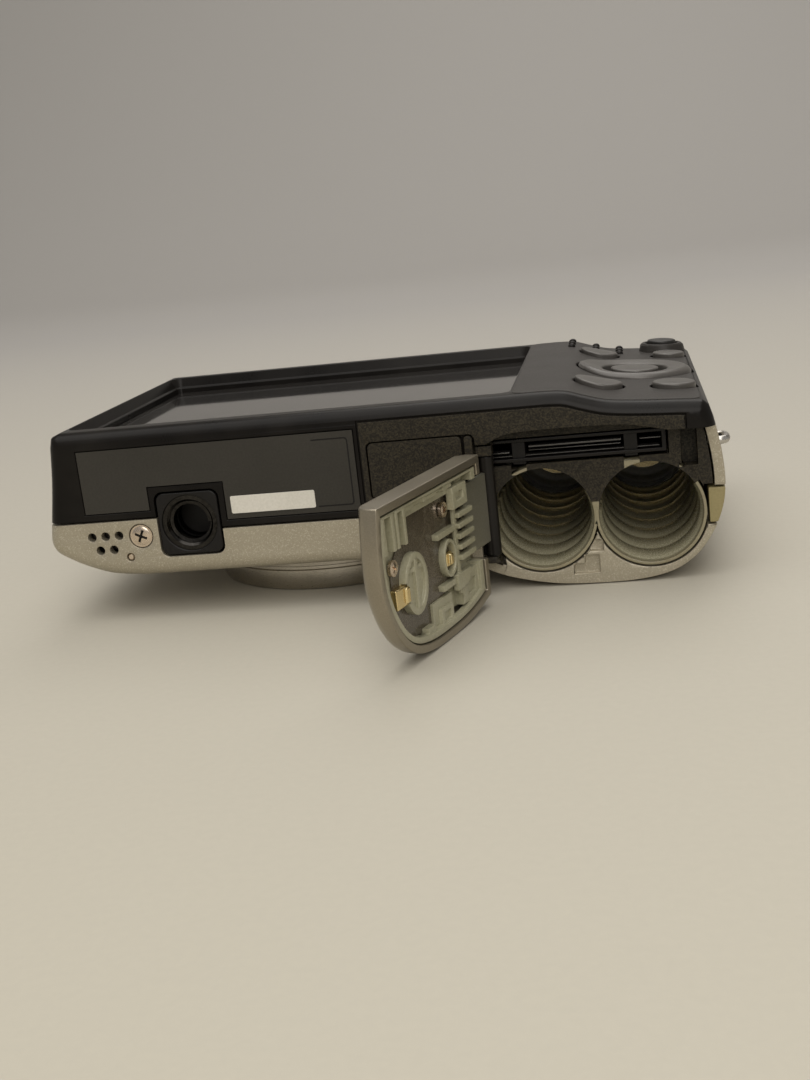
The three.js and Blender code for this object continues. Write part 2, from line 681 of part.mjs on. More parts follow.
function zoomLever() {
  const { x, z, leverInner, leverOuter } = SHUTTER;
  const ring = tubeY(x, z, leverInner, leverOuter, HEIGHT + 0.2, HEIGHT + 2, 40);
  const fingerOutline = roundRectangle(x - 1.5, x + 1.5, z - leverOuter - 1.2, z - leverInner - 0.6, 0.9);
  const finger = alongY(fingerOutline, HEIGHT + 0.2, HEIGHT + 2.4);
  return union(ring, finger);
}

function shutterButton() {
  const cap = rodY(SHUTTER.x, SHUTTER.z, SHUTTER.radius, HEIGHT + 1.05, HEIGHT + 2.3, 32);
  const stem = rodY(SHUTTER.x, SHUTTER.z, SHUTTER.radius - 1.5, HEIGHT - 2.2, HEIGHT + 1.2, 24);
  return union(cap, stem);
}

// The space below the control deck's sloping surface, raised by a lift.
function underDeck(lift) {
  const line = [46.6, 33, 24.5].map((x) => [x, deckHeight(x) + lift]);
  return alongY([[24.5, 20], [46.6, 20], ...line], 0, HEIGHT);
}

function keyButton(key) {
  return union(
    rodZ(key.x, key.y, key.radius, DECK_Z + 0.2, DEPTH + 1, 24).intersect(underDeck(KEY_TOP)),
    rodZ(key.x, key.y, key.radius * 0.5, DECK_Z - 0.7, DECK_Z + 0.4, 16),
  );
}

function selectorRing() {
  const ring = tubeZ(SELECTOR.x, SELECTOR.y, SELECTOR.inner, SELECTOR.outer, DECK_Z + 0.5, DEPTH + 1, 48);
  return ring.intersect(underDeck(0.5));
}

function okButton() {
  const cap = rodZ(SELECTOR.x, SELECTOR.y, SELECTOR.okRadius, DECK_Z + 0.3, DEPTH + 1, 32);
  const stem = rodZ(SELECTOR.x, SELECTOR.y, 2, DECK_Z - 0.9, DECK_Z + 0.5, 16);
  return union(cap.intersect(underDeck(0.4)), stem);
}

// Case pieces and everything fixed inside
const camera = new THREE.Group();
const body = new THREE.Group();
camera.add(body);

addPiece(body, "front_cover", frontCover(), silver);
addPiece(body, "rear_cover", rearCover(), black);
const screenBack = SCREEN.top - SCREEN.thick;
const screenGlass = box(SCREEN.x0, SCREEN.x1, SCREEN.y0, SCREEN.y1, screenBack, SCREEN.top);
addPiece(body, "screen_window", screenGlass, glass);
addPiece(body, "lcd_panel", box(LCD.x0, LCD.x1, LCD.y0, LCD.y1, LCD.z0, LCD.z1), steel);
addPiece(body, "rating_label", alongY(labelOutline(0), 0.02, LABEL.thick), label);
addPiece(body, "serial_sticker", box(-21.6, -9, -0.12, 0, 15.2, 17.8), white);
addPiece(body, "tripod_block", tripodBlock(), rubber);
const bushOuter = TRIPOD.thread + 0.85;
addPiece(body, "tripod_bush", tubeY(TRIPOD.x, TRIPOD.z, TRIPOD.thread, bushOuter, 0.3, 5.4), steel);
addPiece(body, "bottom_screw", screwY(BOTTOM_SCREW, 0.05, 4.5), steel);
addPiece(body, "case_pin", rodY(CASE_PIN.x, CASE_PIN.z, CASE_PIN.radius, 0.2, 2.5, 12), steel);
addPiece(body, "speaker", rodY(-41.2, 13.9, 3.2, 1.9, 4.2, 28), steel);
addPiece(body, "battery_chamber", batteryChamber(), khaki);
addPiece(body, "battery_frame", batteryFrame(), rubber);
addPiece(body, "card_slot", cardSlot(), black);
CELLS.forEach((cell, i) => {
  const plate = rodY(cell.x, cell.z, 4.4, CHAMBER.bottom - 0.8, CHAMBER.bottom - 0.3, 24);
  const nub = rodY(cell.x, cell.z, 1.6, CHAMBER.bottom - 1.6, CHAMBER.bottom - 0.5, 16);
  addPiece(body, "cell_contact_" + (i + 1), union(plate, nub), gold);
});

const boardOutline = alongZ(roundRectangle(-44.6, 12.4, 3.4, 56, 1.5), 19.9, 20.9);
addPiece(body, "main_board", boardOutline.subtract(box(-1.6, 20, 0, 9, 0, 40)), board);
addPiece(body, "key_board", alongZ(roundRectangle(21, 45, 8.4, 57.2, 1.5), 22.25, 23.05), board);
addPiece(body, "lens_ring", lensRing(), silver);
addPiece(body, "lens_housing", lensHousing(), rubber);
const sensor = box(LENS.x - 4, LENS.x + 4, LENS.y - 3.2, LENS.y + 3.2, 18.1, 19.6);
addPiece(body, "image_sensor", sensor, board);
addPiece(body, "zoom_motor", rodZ(-34, 51.2, 3.3, 8.6, 19.2, 24), steel);
const flashOutline = roundRectangle(FLASH.x0, FLASH.x1, FLASH.y0, FLASH.y1, 0.8);
addPiece(body, "flash_window", alongZ(flashOutline, FRONT_Z + 0.1, 8.4), glass);
const reflector = box(FLASH.x0 + 0.4, FLASH.x1 - 0.4, FLASH.y0 + 0.4, FLASH.y1 - 0.4, 8.7, 13.5);
addPiece(body, "flash_reflector", reflector, steel);
addPiece(body, "flash_capacitor", rodY(-38.6, 14.3, 4.4, 12, 44, 24), rubber);
addPiece(body, "self_timer_lamp", rodZ(TIMER_LAMP.x, TIMER_LAMP.y, TIMER_LAMP.radius, 4, 7.6, 20), glass);
addPiece(body, "connector_socket", connectorSocket(), steel);
const anchor = box(PORT.x1 + 0.5, PORT.x1 + 1.3, 0.1, 0.85, 14.6, 23.6);
addPiece(body, "connector_anchor", anchor, rubber);
addPiece(body, "strap_eyelet", strapEyelet(), steel);
addPiece(body, "hinge_pin", rodZ(HINGE.x, HINGE.y, 0.62, 5.1, 21.3, 16), steel);

// Covers over the sockets
addPiece(body, "connector_cover", connectorCover(), rubber);
addPiece(body, "dc_cover", dcCover(), khaki);

// Lens barrels and the blades that cover the lens
addPiece(body, "outer_barrel", outerBarrel(), silver);
addPiece(body, "inner_barrel", innerBarrel(), black);
addPiece(body, "front_lens", frontLens(), glass);
addPiece(body, "cover_blade_1", coverBlade(false), rubber);
addPiece(body, "cover_blade_2", coverBlade(true), rubber);

// Controls
addPiece(body, "zoom_lever", zoomLever(), silver);
addPiece(body, "shutter_button", shutterButton(), silver);
const powerCap = rodY(POWER.x, POWER.z, POWER.radius, HEIGHT - 2.4, HEIGHT + 0.4, 24);
addPiece(body, "power_button", powerCap, silver);
for (const [name, key] of Object.entries(CONTROLS)) {
  addPiece(body, name + "_button", keyButton(key), deckGrey);
}
addPiece(body, "selector_ring", selectorRing(), deckGrey);
const carrier = tubeZ(SELECTOR.x, SELECTOR.y, 4.2, 7.6, DECK_Z - 0.75, DECK_Z - 0.05, 32);
addPiece(body, "selector_carrier", carrier, rubber);
addPiece(body, "ok_button", okButton(), deckGrey);

// Battery door: the arm turns on the hinge pin, and the door slides along the arm
const doorTurn = new THREE.Group();
doorTurn.position.set(HINGE.x, HINGE.y, 0);
doorTurn.rotation.z = THREE.MathUtils.degToRad(-DOOR.openAngle);
body.add(doorTurn);
const doorArm = new THREE.Group();
doorArm.position.set(-HINGE.x, -HINGE.y, 0);
doorTurn.add(doorArm);
const door = new THREE.Group();
door.position.set(DOOR.slideOut, 0, 0);
doorArm.add(door);

addPiece(doorArm, "door_hinge_arm", doorHingeArm(), rubber);
addPiece(door, "door_cover", doorCover(), silver);
addPiece(door, "door_inner", doorInner(), khaki);
addPiece(door, "door_contact_plate", doorContactPlate(), brown);
DOOR_CONTACTS.forEach(({ x0, x1, z0, z1 }, i) => {
  addPiece(door, "door_contact_" + (i + 1), alongY(roundRectangle(x0, x1, z0, z1, 1), 3.15, 4.4), gold);
});
DOOR_SCREWS.forEach(({ x, z, y0 }, i) => {
  addPiece(door, "door_screw_" + (i + 1), rodY(x, z, 1.2, y0, DOOR_SCREW_TOP, 20), steel);
});

// Puts the origin under the middle of the whole camera, at the surface that it lies on
const bounds = new THREE.Box3().setFromObject(camera);
const centre = bounds.getCenter(new THREE.Vector3());
camera.position.set(-centre.x, -centre.y, -bounds.min.z);

export default camera;
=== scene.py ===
import math

import bmesh
import bpy
from mathutils import Matrix, Vector


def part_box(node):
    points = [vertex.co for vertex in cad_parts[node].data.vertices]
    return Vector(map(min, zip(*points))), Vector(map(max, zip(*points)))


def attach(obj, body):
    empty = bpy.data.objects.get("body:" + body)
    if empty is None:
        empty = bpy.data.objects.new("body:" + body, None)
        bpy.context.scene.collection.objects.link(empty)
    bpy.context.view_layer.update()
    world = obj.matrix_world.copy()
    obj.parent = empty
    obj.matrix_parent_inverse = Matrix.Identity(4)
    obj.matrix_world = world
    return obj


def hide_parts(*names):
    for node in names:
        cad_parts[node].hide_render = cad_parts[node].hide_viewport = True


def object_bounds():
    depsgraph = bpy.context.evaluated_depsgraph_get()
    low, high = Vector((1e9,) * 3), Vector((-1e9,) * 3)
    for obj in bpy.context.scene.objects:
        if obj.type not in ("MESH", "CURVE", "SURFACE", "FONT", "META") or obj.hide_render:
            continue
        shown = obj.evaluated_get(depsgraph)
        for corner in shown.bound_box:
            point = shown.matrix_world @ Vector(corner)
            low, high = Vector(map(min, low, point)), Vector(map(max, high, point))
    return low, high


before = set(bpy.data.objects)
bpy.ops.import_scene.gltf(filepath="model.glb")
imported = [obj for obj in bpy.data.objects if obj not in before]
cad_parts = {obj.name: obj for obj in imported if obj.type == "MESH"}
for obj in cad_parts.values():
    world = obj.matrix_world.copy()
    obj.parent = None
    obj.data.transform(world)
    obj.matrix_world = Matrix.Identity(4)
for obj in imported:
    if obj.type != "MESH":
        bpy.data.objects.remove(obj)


# A dictionary whose values can also be read with a dot.
class Values(dict):
    __getattr__ = dict.__getitem__


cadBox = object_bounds()
print("the CAD model is loaded")

# Shapes are drawn in millimetres, with the bottom face at y = 0 and the lens ring's front at z = 0.
# The hinge pin's place in the model says where that drawing lies.
hingePin = Values(x=15.9, y=1.7, lowEnd=5.1)
pinLow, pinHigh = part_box("hinge_pin")
pinMiddle = (pinLow + pinHigh) / 2
drawingOrigin = Vector(
    (
        pinMiddle.x - hingePin.x / 1000,
        pinMiddle.y - hingePin.y / 1000,
        pinLow.z - hingePin.lowEnd / 1000,
    )
)
toFrame = Matrix.Translation(drawingOrigin) @ Matrix.Scale(0.001, 4)

# Door pieces are drawn closed, then swung out about the hinge pin
doorSwing = Values(angle=108, slide=4)
hingeCentre = Vector((hingePin.x, hingePin.y, 0))
armOpen = (
    Matrix.Translation(hingeCentre)
    @ Matrix.Rotation(math.radians(-doorSwing.angle), 4, "Z")
    @ Matrix.Translation(-hingeCentre)
)
swings = {"door": armOpen @ Matrix.Translation(Vector((doorSwing.slide, 0, 0))), "door_arm": armOpen}


# Making meshes
def meshPiece(vertices, faces):
    mesh = bpy.data.meshes.new("piece")
    mesh.from_pydata(vertices, [], faces)
    piece = bpy.data.objects.new("piece", mesh)
    bpy.context.scene.collection.objects.link(piece)
    return closeUp(piece)


# Merges doubled points, drops faces with no area and turns all faces outwards.
def closeUp(piece, distance=0.0004):
    bm = bmesh.new()
    bm.from_mesh(piece.data)
    bmesh.ops.remove_doubles(bm, verts=bm.verts, dist=distance)
    bmesh.ops.dissolve_degenerate(bm, edges=bm.edges, dist=distance)
    bmesh.ops.recalc_face_normals(bm, faces=bm.faces)
    bm.to_mesh(piece.data)
    bm.free()
    return piece


# Joins rings of points, each with the same number, into a closed body.
def loft(rings):
    count = len(rings[0])
    vertices = [point for ring in rings for point in ring]
    faces = []
    for r in range(len(rings) - 1):
        for i in range(count):
            k = (i + 1) % count
            faces.append((r * count + i, r * count + k, (r + 1) * count + k, (r + 1) * count + i))
    faces.append(tuple(range(count)))
    faces.append(tuple((len(rings) - 1) * count + i for i in range(count)))
    return meshPiece(vertices, faces)


# Puts an outline's two numbers and a height in the order that the extrusion's axis asks for.
def along(axis, a, b, height):
    return {"x": (height, a, b), "y": (a, height, b), "z": (a, b, height)}[axis]


def prism(outline, low, high, axis="y"):
    return loft([[along(axis, a, b, height) for a, b in outline] for height in (low, high)])


def block(x0, x1, y0, y1, z0, z1):
    return prism([(x0, z0), (x1, z0), (x1, z1), (x0, z1)], y0, y1)


# A body of revolution: its profile is a closed list of (radius, height) round the axis.
def turned(profile, a, b, axis="z", steps=64):
    count = len(profile)
    vertices = []
    for s in range(steps):
        angle = math.tau * s / steps
        for radius, height in profile:
            vertices.append(along(axis, a + radius * math.cos(angle), b + radius * math.sin(angle), height))
    faces = []
    for s in range(steps):
        t = (s + 1) % steps
        for i in range(count):
            k = (i + 1) % count
            if profile[i][0] or profile[k][0]:
                faces.append((s * count + i, t * count + i, t * count + k, s * count + k))
    return meshPiece(vertices, faces)


# Points of a profile, as steps out from a radius and up from a level.
def around(radius, level, *points):
    return [(radius + out, level + up) for out, up in points]


def rod(a, b, radius, low, high, axis="y", steps=48):
    return turned([(0, low), (radius, low), (radius, high), (0, high)], a, b, axis, steps)


def tube(a, b, inner, outer, low, high, axis="y", steps=64):
    return turned([(inner, low), (outer, low), (outer, high), (inner, high)], a, b, axis, steps)


def roundRectangle(a0, a1, b0, b1, radius, steps=8):
    points = []
    corners = [(a1 - radius, b0 + radius, -90), (a1 - radius, b1 - radius, 0)]
    corners += [(a0 + radius, b1 - radius, 90), (a0 + radius, b0 + radius, 180)]
    for a, b, start in corners:
        for i in range(steps + 1):
            angle = math.radians(start + 90 * i / steps)
            points.append((a + radius * math.cos(angle), b + radius * math.sin(angle)))
    return points


def ellipse(a, b, radiusA, radiusB, steps=40):
    turns = [math.tau * i / steps for i in range(steps)]
    return [(a + radiusA * math.cos(t), b + radiusB * math.sin(t)) for t in turns]


# A smooth line through points.
def smoothLine(points, steps):
    line = []
    for i in range(steps + 1):
        place = (len(points) - 1) * i / steps
        k = min(int(place), len(points) - 2)
        t = place - k
        before, start, end, after = (points[min(max(k + j, 0), len(points) - 1)] for j in (-1, 0, 1, 2))
        point = []
        for p, q, r, s in zip(before, start, end, after):
            v0 = (r - p) / 2
            v1 = (s - q) / 2
            point.append((2 * q - 2 * r + v0 + v1) * t**3 + (3 * r - 3 * q - 2 * v0 - v1) * t**2 + v0 * t + q)
        line.append(tuple(point))
    return line


def cutLine(piece, operation, tools):
    for tool in tools:
        step = piece.modifiers.new("cut", "BOOLEAN")
        step.operation = operation
        step.solver = "MANIFOLD"
        step.object = tool
    settle(piece)
    for tool in tools:
        bpy.data.objects.remove(tool)
    if not piece.data.polygons:
        raise RuntimeError("nothing is left of " + piece.name)
    return piece


def carve(piece, *tools):
    return cutLine(piece, "DIFFERENCE", tools)


def weld(piece, *tools):
    return cutLine(piece, "UNION", tools)


def common(piece, *tools):
    return cutLine(piece, "INTERSECT", tools)


def twin(piece):
    copy = piece.copy()
    copy.data = piece.data.copy()
    bpy.context.scene.collection.objects.link(copy)
    return copy


# Makes the modifiers' result the object's own mesh.
def settle(piece):
    graph = bpy.context.evaluated_depsgraph_get()
    mesh = bpy.data.meshes.new_from_object(piece.evaluated_get(graph), depsgraph=graph)
    piece.modifiers.clear()
    piece.data = mesh
    return piece


# Rounds the sharp edges. Faces with many corners are cut in triangles first, so that a short edge
# beside one of them can only spoil a small place.
def soften(piece, width, segments=2, angle=32):
    bm = bmesh.new()
    bm.from_mesh(piece.data)
    bmesh.ops.remove_doubles(bm, verts=bm.verts, dist=0.004)
    bmesh.ops.triangulate(bm, faces=[face for face in bm.faces if len(face.verts) > 4])
    bm.to_mesh(piece.data)
    bm.free()
    step = piece.modifiers.new("rounded edges", "BEVEL")
    step.width = width
    step.segments = segments
    step.limit_method = "ANGLE"
    step.angle_limit = math.radians(angle)
    step.use_clamp_overlap = False
    step.loop_slide = False
    return settle(piece)


# Puts a drawn piece in the camera's frame, shades it, hangs it on its body's empty, and hides the CAD part
# that it takes the place of.
def finish(piece, name, look, node=None, body="body", sharp=38):
    piece.name = name
    if body in swings:
        piece.data.transform(swings[body])
    piece.data.transform(toFrame)
    piece.data.materials.clear()
    piece.data.materials.append(looks[look])
    piece.data.polygons.foreach_set("use_smooth", [True] * len(piece.data.polygons))
    piece.data.set_sharp_from_angle(angle=math.radians(sharp))
    step = piece.modifiers.new("shading", "WEIGHTED_NORMAL")
    step.keep_sharp = True
    settle(piece)
    piece.data.name = name
    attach(piece, body)
    if node:
        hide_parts(node)
    return piece


# Node trees
class Wire:
    # A socket of a node tree. Sums and products of wires add Math nodes.
    def __init__(self, tree, socket=None):
        self.tree = tree
        self.socket = socket

    # Adds a node, with values or wires for its inputs. The kind is its type without the family's name.
    def node(self, kind, inputs=None, output=0, **settings):
        types = [family + "Node" + kind for family in ("Geometry", "Shader", "Function")]
        made = self.tree.nodes.new(next(name for name in types if hasattr(bpy.types, name)))
        for name, value in settings.items():
            setattr(made, name, value)
        for name, value in (inputs or {}).items():
            if isinstance(value, Wire):
                self.tree.links.new(value.socket, made.inputs[name])
            else:
                made.inputs[name].default_value = value
        return Wire(self.tree, made.outputs[output])

    # Links several wires to one input of the node that this wire leaves.
    def feed(self, name, wires):
        for wire in wires:
            self.tree.links.new(wire.socket, self.socket.node.inputs[name])
        return self

    def math(self, operation, first, second):
        return self.node("Math", {0: first, 1: second}, operation=operation)

    def fraction(self):
        return self.node("Math", {0: self}, operation="FRACT")

    def __add__(self, other):
        return self.math("ADD", self, other)

    def __radd__(self, other):
        return self.math("ADD", other, self)

    def __sub__(self, other):
        return self.math("SUBTRACT", self, other)

    def __rsub__(self, other):
        return self.math("SUBTRACT", other, self)

    def __mul__(self, other):
        return self.math("MULTIPLY", self, other)

    def __gt__(self, other):
        return self.math("GREATER_THAN", self, other)

    def noise(self, size, detail=2.0):
        return self.node("TexNoise", {"Vector": self, "Scale": 1 / size, "Detail": detail})

    # A random number for each cell of about the given size.
    def cells(self, size):
        colour = self.node("TexVoronoi", {"Vector": self, "Scale": 1 / size}, "Color")
        return colour.node("SeparateColor", {"Color": colour}, "Red")

    def axis(self, name):
        return self.node("SeparateXYZ", {"Vector": self}, name.upper())

    def stretched(self, scale):
        return self.node("Mapping", {"Vector": self, "Scale": scale})

    # 0 below the low number, 1 above the high one.
    def between(self, low, high):
        ends = {"Value": self, "From Min": low, "From Max": high}
        return self.node("MapRange", ends, clamp=True)

    # This wire's number chooses between two colours.
    def blend(self, first, second):
        ends = {}
        for place, colour in ((6, first), (7, second)):
            ends[place] = colour if isinstance(colour, Wire) else (*colour, 1)
        return self.node("Mix", {0: self, **ends}, 2, data_type="RGBA")

    def bump(self, depth, strength=1.0):
        return self.node("Bump", {"Height": self, "Distance": depth, "Strength": strength})


# A Principled material. paint takes the Object coordinates and gives what changes over the surface.
def newMaterial(name, steady, paint):
    material = bpy.data.materials.new(name)
    material.use_nodes = True
    tree = material.node_tree
    tree.nodes.clear()
    output = tree.nodes.new("ShaderNodeOutputMaterial")
    shader = tree.nodes.new("ShaderNodeBsdfPrincipled")
    tree.links.new(shader.outputs[0], output.inputs[0])
    for socket, value in steady.items():
        shader.inputs[socket].default_value = value
    where = Wire(tree).node("TexCoord", None, "Object")
    for socket, wire in paint(where).items():
        tree.links.new(wire.socket, shader.inputs[socket])
    return material


# Makes a mesh with Geometry Nodes. The values become the tree's named inputs; build gives its geometry.
def grow(name, values, build, look):
    tree = bpy.data.node_groups.new(name, "GeometryNodeTree")
    kinds = {float: "NodeSocketFloat", int: "NodeSocketInt", tuple: "NodeSocketVector"}
    kinds[bpy.types.Object] = "NodeSocketObject"
    identifiers = {}
    for label, value in values.items():
        socket = tree.interface.new_socket(label, in_out="INPUT", socket_type=kinds[type(value)])
        identifiers[label] = socket.identifier
    tree.interface.new_socket("Geometry", in_out="OUTPUT", socket_type="NodeSocketGeometry")
    entry = tree.nodes.new("NodeGroupInput")
    inputs = {label: Wire(tree, entry.outputs[label]) for label in values}
    shape = build(Wire(tree), inputs)
    real = shape.node("RealizeInstances", {"Geometry": shape})
    painted = real.node("SetMaterial", {"Geometry": real, "Material": looks[look]})
    output = tree.nodes.new("NodeGroupOutput")
    tree.links.new(painted.socket, output.inputs[0])
    piece = bpy.data.objects.new(name, bpy.data.meshes.new(name))
    step = piece.modifiers.new(name, "NODES")
    step.node_group = tree
    for label, value in values.items():
        step[identifiers[label]] = value
    bpy.context.scene.collection.objects.link(piece)
    return settle(piece)


# Materials
paintTones = Values(
    shadeTone=(0.335, 0.297, 0.222),
    lightTone=(0.455, 0.413, 0.322),
    fleck=(0.74, 0.70, 0.575),
    grainSize=0.00017,
    roughness=0.36,
)


# Champagne metallic paint: fine grain with bright flecks.
def champagnePaint(where):
    grain = where.noise(paintTones.grainSize, 3)
    flecks = where.cells(paintTones.grainSize * 0.8)
    cloud = where.noise(0.012, 3)
    mix = (cloud * 0.35 + grain * 0.65).between(0.3, 0.7)
    tone = mix.blend(paintTones.shadeTone, paintTones.lightTone)
    tone = ((flecks > 0.88) * 0.3).blend(tone, paintTones.fleck)
    roughness = grain.between(0.2, 0.8) * 0.16 + (paintTones.roughness - 0.06) + cloud * 0.06
    return {"Base Color": tone, "Roughness": roughness, "Normal": grain.bump(0.000018, 0.6)}


doorTones = Values(shadeTone=(0.25, 0.218, 0.162), lightTone=(0.34, 0.303, 0.232), roughness=0.3)


# The door's paint is browner and smoother.
def doorPaint(where):
    grain = where.noise(paintTones.grainSize, 3)
    cloud = where.noise(0.009, 3)
    tone = (cloud * 0.5 + grain * 0.5).between(0.3, 0.7).blend(doorTones.shadeTone, doorTones.lightTone)
    roughness = grain * 0.12 + (doorTones.roughness - 0.06) + cloud * 0.08
    return {"Base Color": tone, "Roughness": roughness, "Normal": grain.bump(0.000012, 0.5)}


plasticTones = Values(
    shell=(0.0062, 0.0053, 0.0046),
    shellWorn=(0.0125, 0.0108, 0.0092),
    panel=(0.0135, 0.0112, 0.0078),
    panelFleck=(0.052, 0.043, 0.0265),
    deck=(0.025, 0.022, 0.0195),
    deckLight=(0.032, 0.0285, 0.025),
    key=(0.070, 0.0645, 0.058),
    keyLight=(0.095, 0.088, 0.080),
)


# Black plastic: almost smooth, with faint marks from handling.
def glossBlack(where):
    grain = where.noise(0.00025, 2)
    marks = where.noise(0.009, 4)
    tone = marks.between(0.35, 0.7).blend(plasticTones.shell, plasticTones.shellWorn)
    roughness = 0.2 + marks * 0.16 + grain * 0.05
    return {"Base Color": tone, "Roughness": roughness, "Normal": grain.bump(0.000004, 0.5)}


# Spark-eroded texture with brown flecks, as on the bottom face.
def texturedBlack(where):
    grain = where.noise(0.00018, 3)
    flecks = where.cells(0.0002)
    tone = (grain * 0.6 + flecks * 0.4).between(0.38, 0.86).blend(plasticTones.panel, plasticTones.panelFleck)
    return {"Base Color": tone, "Roughness": 0.62 - flecks * 0.25, "Normal": grain.bump(0.00002, 0.7)}


def satin(dark, light, roughness, size=0.0003, depth=0.000008):
    def paint(where):
        grain = where.noise(size, 3)
        cloud = where.noise(0.011, 3)
        tone = (grain * 0.5 + cloud * 0.5).between(0.35, 0.65).blend(dark, light)
        return {
            "Base Color": tone,
            "Roughness": grain * 0.12 + cloud * 0.12 + (roughness - 0.12),
            "Normal": grain.bump(depth, 0.6),
        }

    return paint


# Metal with fine lines along one axis.
def brushed(dark, light, roughness, stretch, depth=0.000004):
    def paint(where):
        lines = where.stretched(stretch).noise(0.0004, 3)
        cloud = where.noise(0.004, 3)
        tone = (lines * 0.6 + cloud * 0.4).between(0.3, 0.7).blend(dark, light)
        return {
            "Base Color": tone,
            "Roughness": lines * 0.16 + (roughness - 0.08),
            "Normal": lines.bump(depth, 0.5),
        }

    return paint


def circuitBoard(where):
    tracks = where.stretched((1, 0.25, 1)).cells(0.0022)
    pads = where.cells(0.0014)
    tone = tracks.between(0.3, 0.7).blend((0.012, 0.06, 0.024), (0.03, 0.13, 0.05))
    tone = (pads > 0.86).blend(tone, (0.6, 0.47, 0.2))
    return {"Base Color": tone, "Roughness": pads * 0.2 + 0.3, "Normal": tracks.bump(0.00003, 0.6)}


def windowGlass(where):
    smears = where.noise(0.03, 4)
    dust = where.cells(0.00028)
    tone = smears.between(0.35, 0.7).blend((0.018, 0.0165, 0.015), (0.027, 0.025, 0.023))
    tone = ((dust > 0.995) * 0.25).blend(tone, (0.2, 0.19, 0.17))
    return {"Base Color": tone, "Roughness": smears.between(0.3, 0.8) * 0.06 + 0.05}


def printedFilm(where):
    grain = where.noise(0.0003, 3)
    cloud = where.noise(0.014, 3)
    mix = (grain * 0.5 + cloud * 0.5).between(0.3, 0.7)
    tone = mix.blend((0.031, 0.0285, 0.0235), (0.043, 0.0395, 0.033))
    return {"Base Color": tone, "Roughness": grain * 0.16 + 0.36, "Normal": grain.bump(0.000008, 0.5)}


def lensGlass(where):
    depth = where.noise(0.01, 2)
    tone = depth.between(0.3, 0.7).blend((0.012, 0.01, 0.026), (0.03, 0.02, 0.05))
    return {"Base Color": tone, "Roughness": depth * 0.03 + 0.02}


# Tiny prisms pressed in the flash window.
def prismGlass(where):
    ridges = where.node("TexWave", {"Vector": where, "Scale": 480.0}, 1, bands_direction="Y")
    tone = ridges.between(0.2, 0.8).blend((0.52, 0.52, 0.5), (0.74, 0.74, 0.72))
    return {"Base Color": tone, "Roughness": ridges * 0.08 + 0.08, "Normal": ridges.bump(0.00008, 0.8)}


metal = {"Metallic": 1.0}
dull = {"Specular IOR Level": 0.22}
# Every finish: its name, its steady values, and how it is painted or the tones and numbers for that
ownFinishes = {
    "champagne": ("champagne paint", {"Metallic": 0.62, "Coat Weight": 0.15}, champagnePaint),
    "doorPaint": ("champagne paint, door", {"Metallic": 0.78, "Coat Weight": 0.2}, doorPaint),
    "black": ("gloss black plastic", {"Specular IOR Level": 0.12}, glossBlack),
    "textured": ("textured black plastic", dull, texturedBlack),
    "window": ("screen window", {"Coat Weight": 0.4}, windowGlass),
    "label": ("label film", dull, printedFilm),
    "frame": ("frame plastic", dull, texturedBlack),
    "slot": ("slot plastic", dull, glossBlack),
    "board": ("circuit board", {}, circuitBoard),
    "lens": ("coated lens", {"Coat Weight": 1.0, "Coat Tint": (0.75, 0.7, 1.0, 1)}, lensGlass),
    "flash": ("flash window", {"Coat Weight": 0.8}, prismGlass),
    "rubber": ("cover rubber", dull, texturedBlack),
}
satinFinishes = {
    "deck": ("deck plastic", dull, plasticTones.deck, plasticTones.deckLight, 0.42, 0.00035),
    "key": ("key plastic", {"Metallic": 0.2}, plasticTones.key, plasticTones.keyLight, 0.34),
    "display": ("display back", {"Metallic": 0.8}, (0.3, 0.3, 0.29), (0.45, 0.45, 0.44), 0.4),
    "sticker": ("white sticker", {}, (0.60, 0.575, 0.50), (0.70, 0.67, 0.60), 0.5),
    "tripod": ("tripod block", dull, (0.0065, 0.0058, 0.0052), (0.0115, 0.0102, 0.0092), 0.42),
    "speaker": ("speaker mesh", metal, (0.05, 0.045, 0.04), (0.12, 0.105, 0.09), 0.5, 0.0004),
    "liner": ("khaki liner", {"Coat Weight": 0.5}, (0.2, 0.175, 0.105), (0.29, 0.255, 0.16), 0.3),
    "rail": ("rail plastic", {"Specular IOR Level": 0.8}, (0.03, 0.028, 0.026), (0.06, 0.056, 0.05), 0.25),
    "barrel": ("barrel black", {"Metallic": 0.3}, (0.016, 0.015, 0.014), (0.028, 0.026, 0.024), 0.4),
    "blade": ("blade black", {"Metallic": 0.4}, (0.014, 0.013, 0.012), (0.024, 0.022, 0.02), 0.45),
    "sleeve": ("capacitor sleeve", {}, (0.01, 0.012, 0.03), (0.018, 0.022, 0.05), 0.35),
    "amber": ("amber lamp", {"Coat Weight": 0.8}, (0.42, 0.12, 0.015), (0.6, 0.2, 0.03), 0.16),
    "khakiRubber": ("khaki rubber", {}, (0.235, 0.195, 0.085), (0.30, 0.25, 0.12), 0.48),
    "tray": ("tray plastic", {"Coat Weight": 0.4}, (0.265, 0.25, 0.165), (0.37, 0.352, 0.245), 0.33),
    "plate": ("brown plate", {"Coat Weight": 0.5}, (0.052, 0.041, 0.027), (0.085, 0.069, 0.047), 0.26),
    "hinge": ("hinge metal", {"Metallic": 0.6}, (0.25, 0.24, 0.185), (0.33, 0.315, 0.25), 0.36),
    "red": ("red dot", {"Coat Weight": 0.5}, (0.33, 0.02, 0.015), (0.45, 0.035, 0.025), 0.3),
}
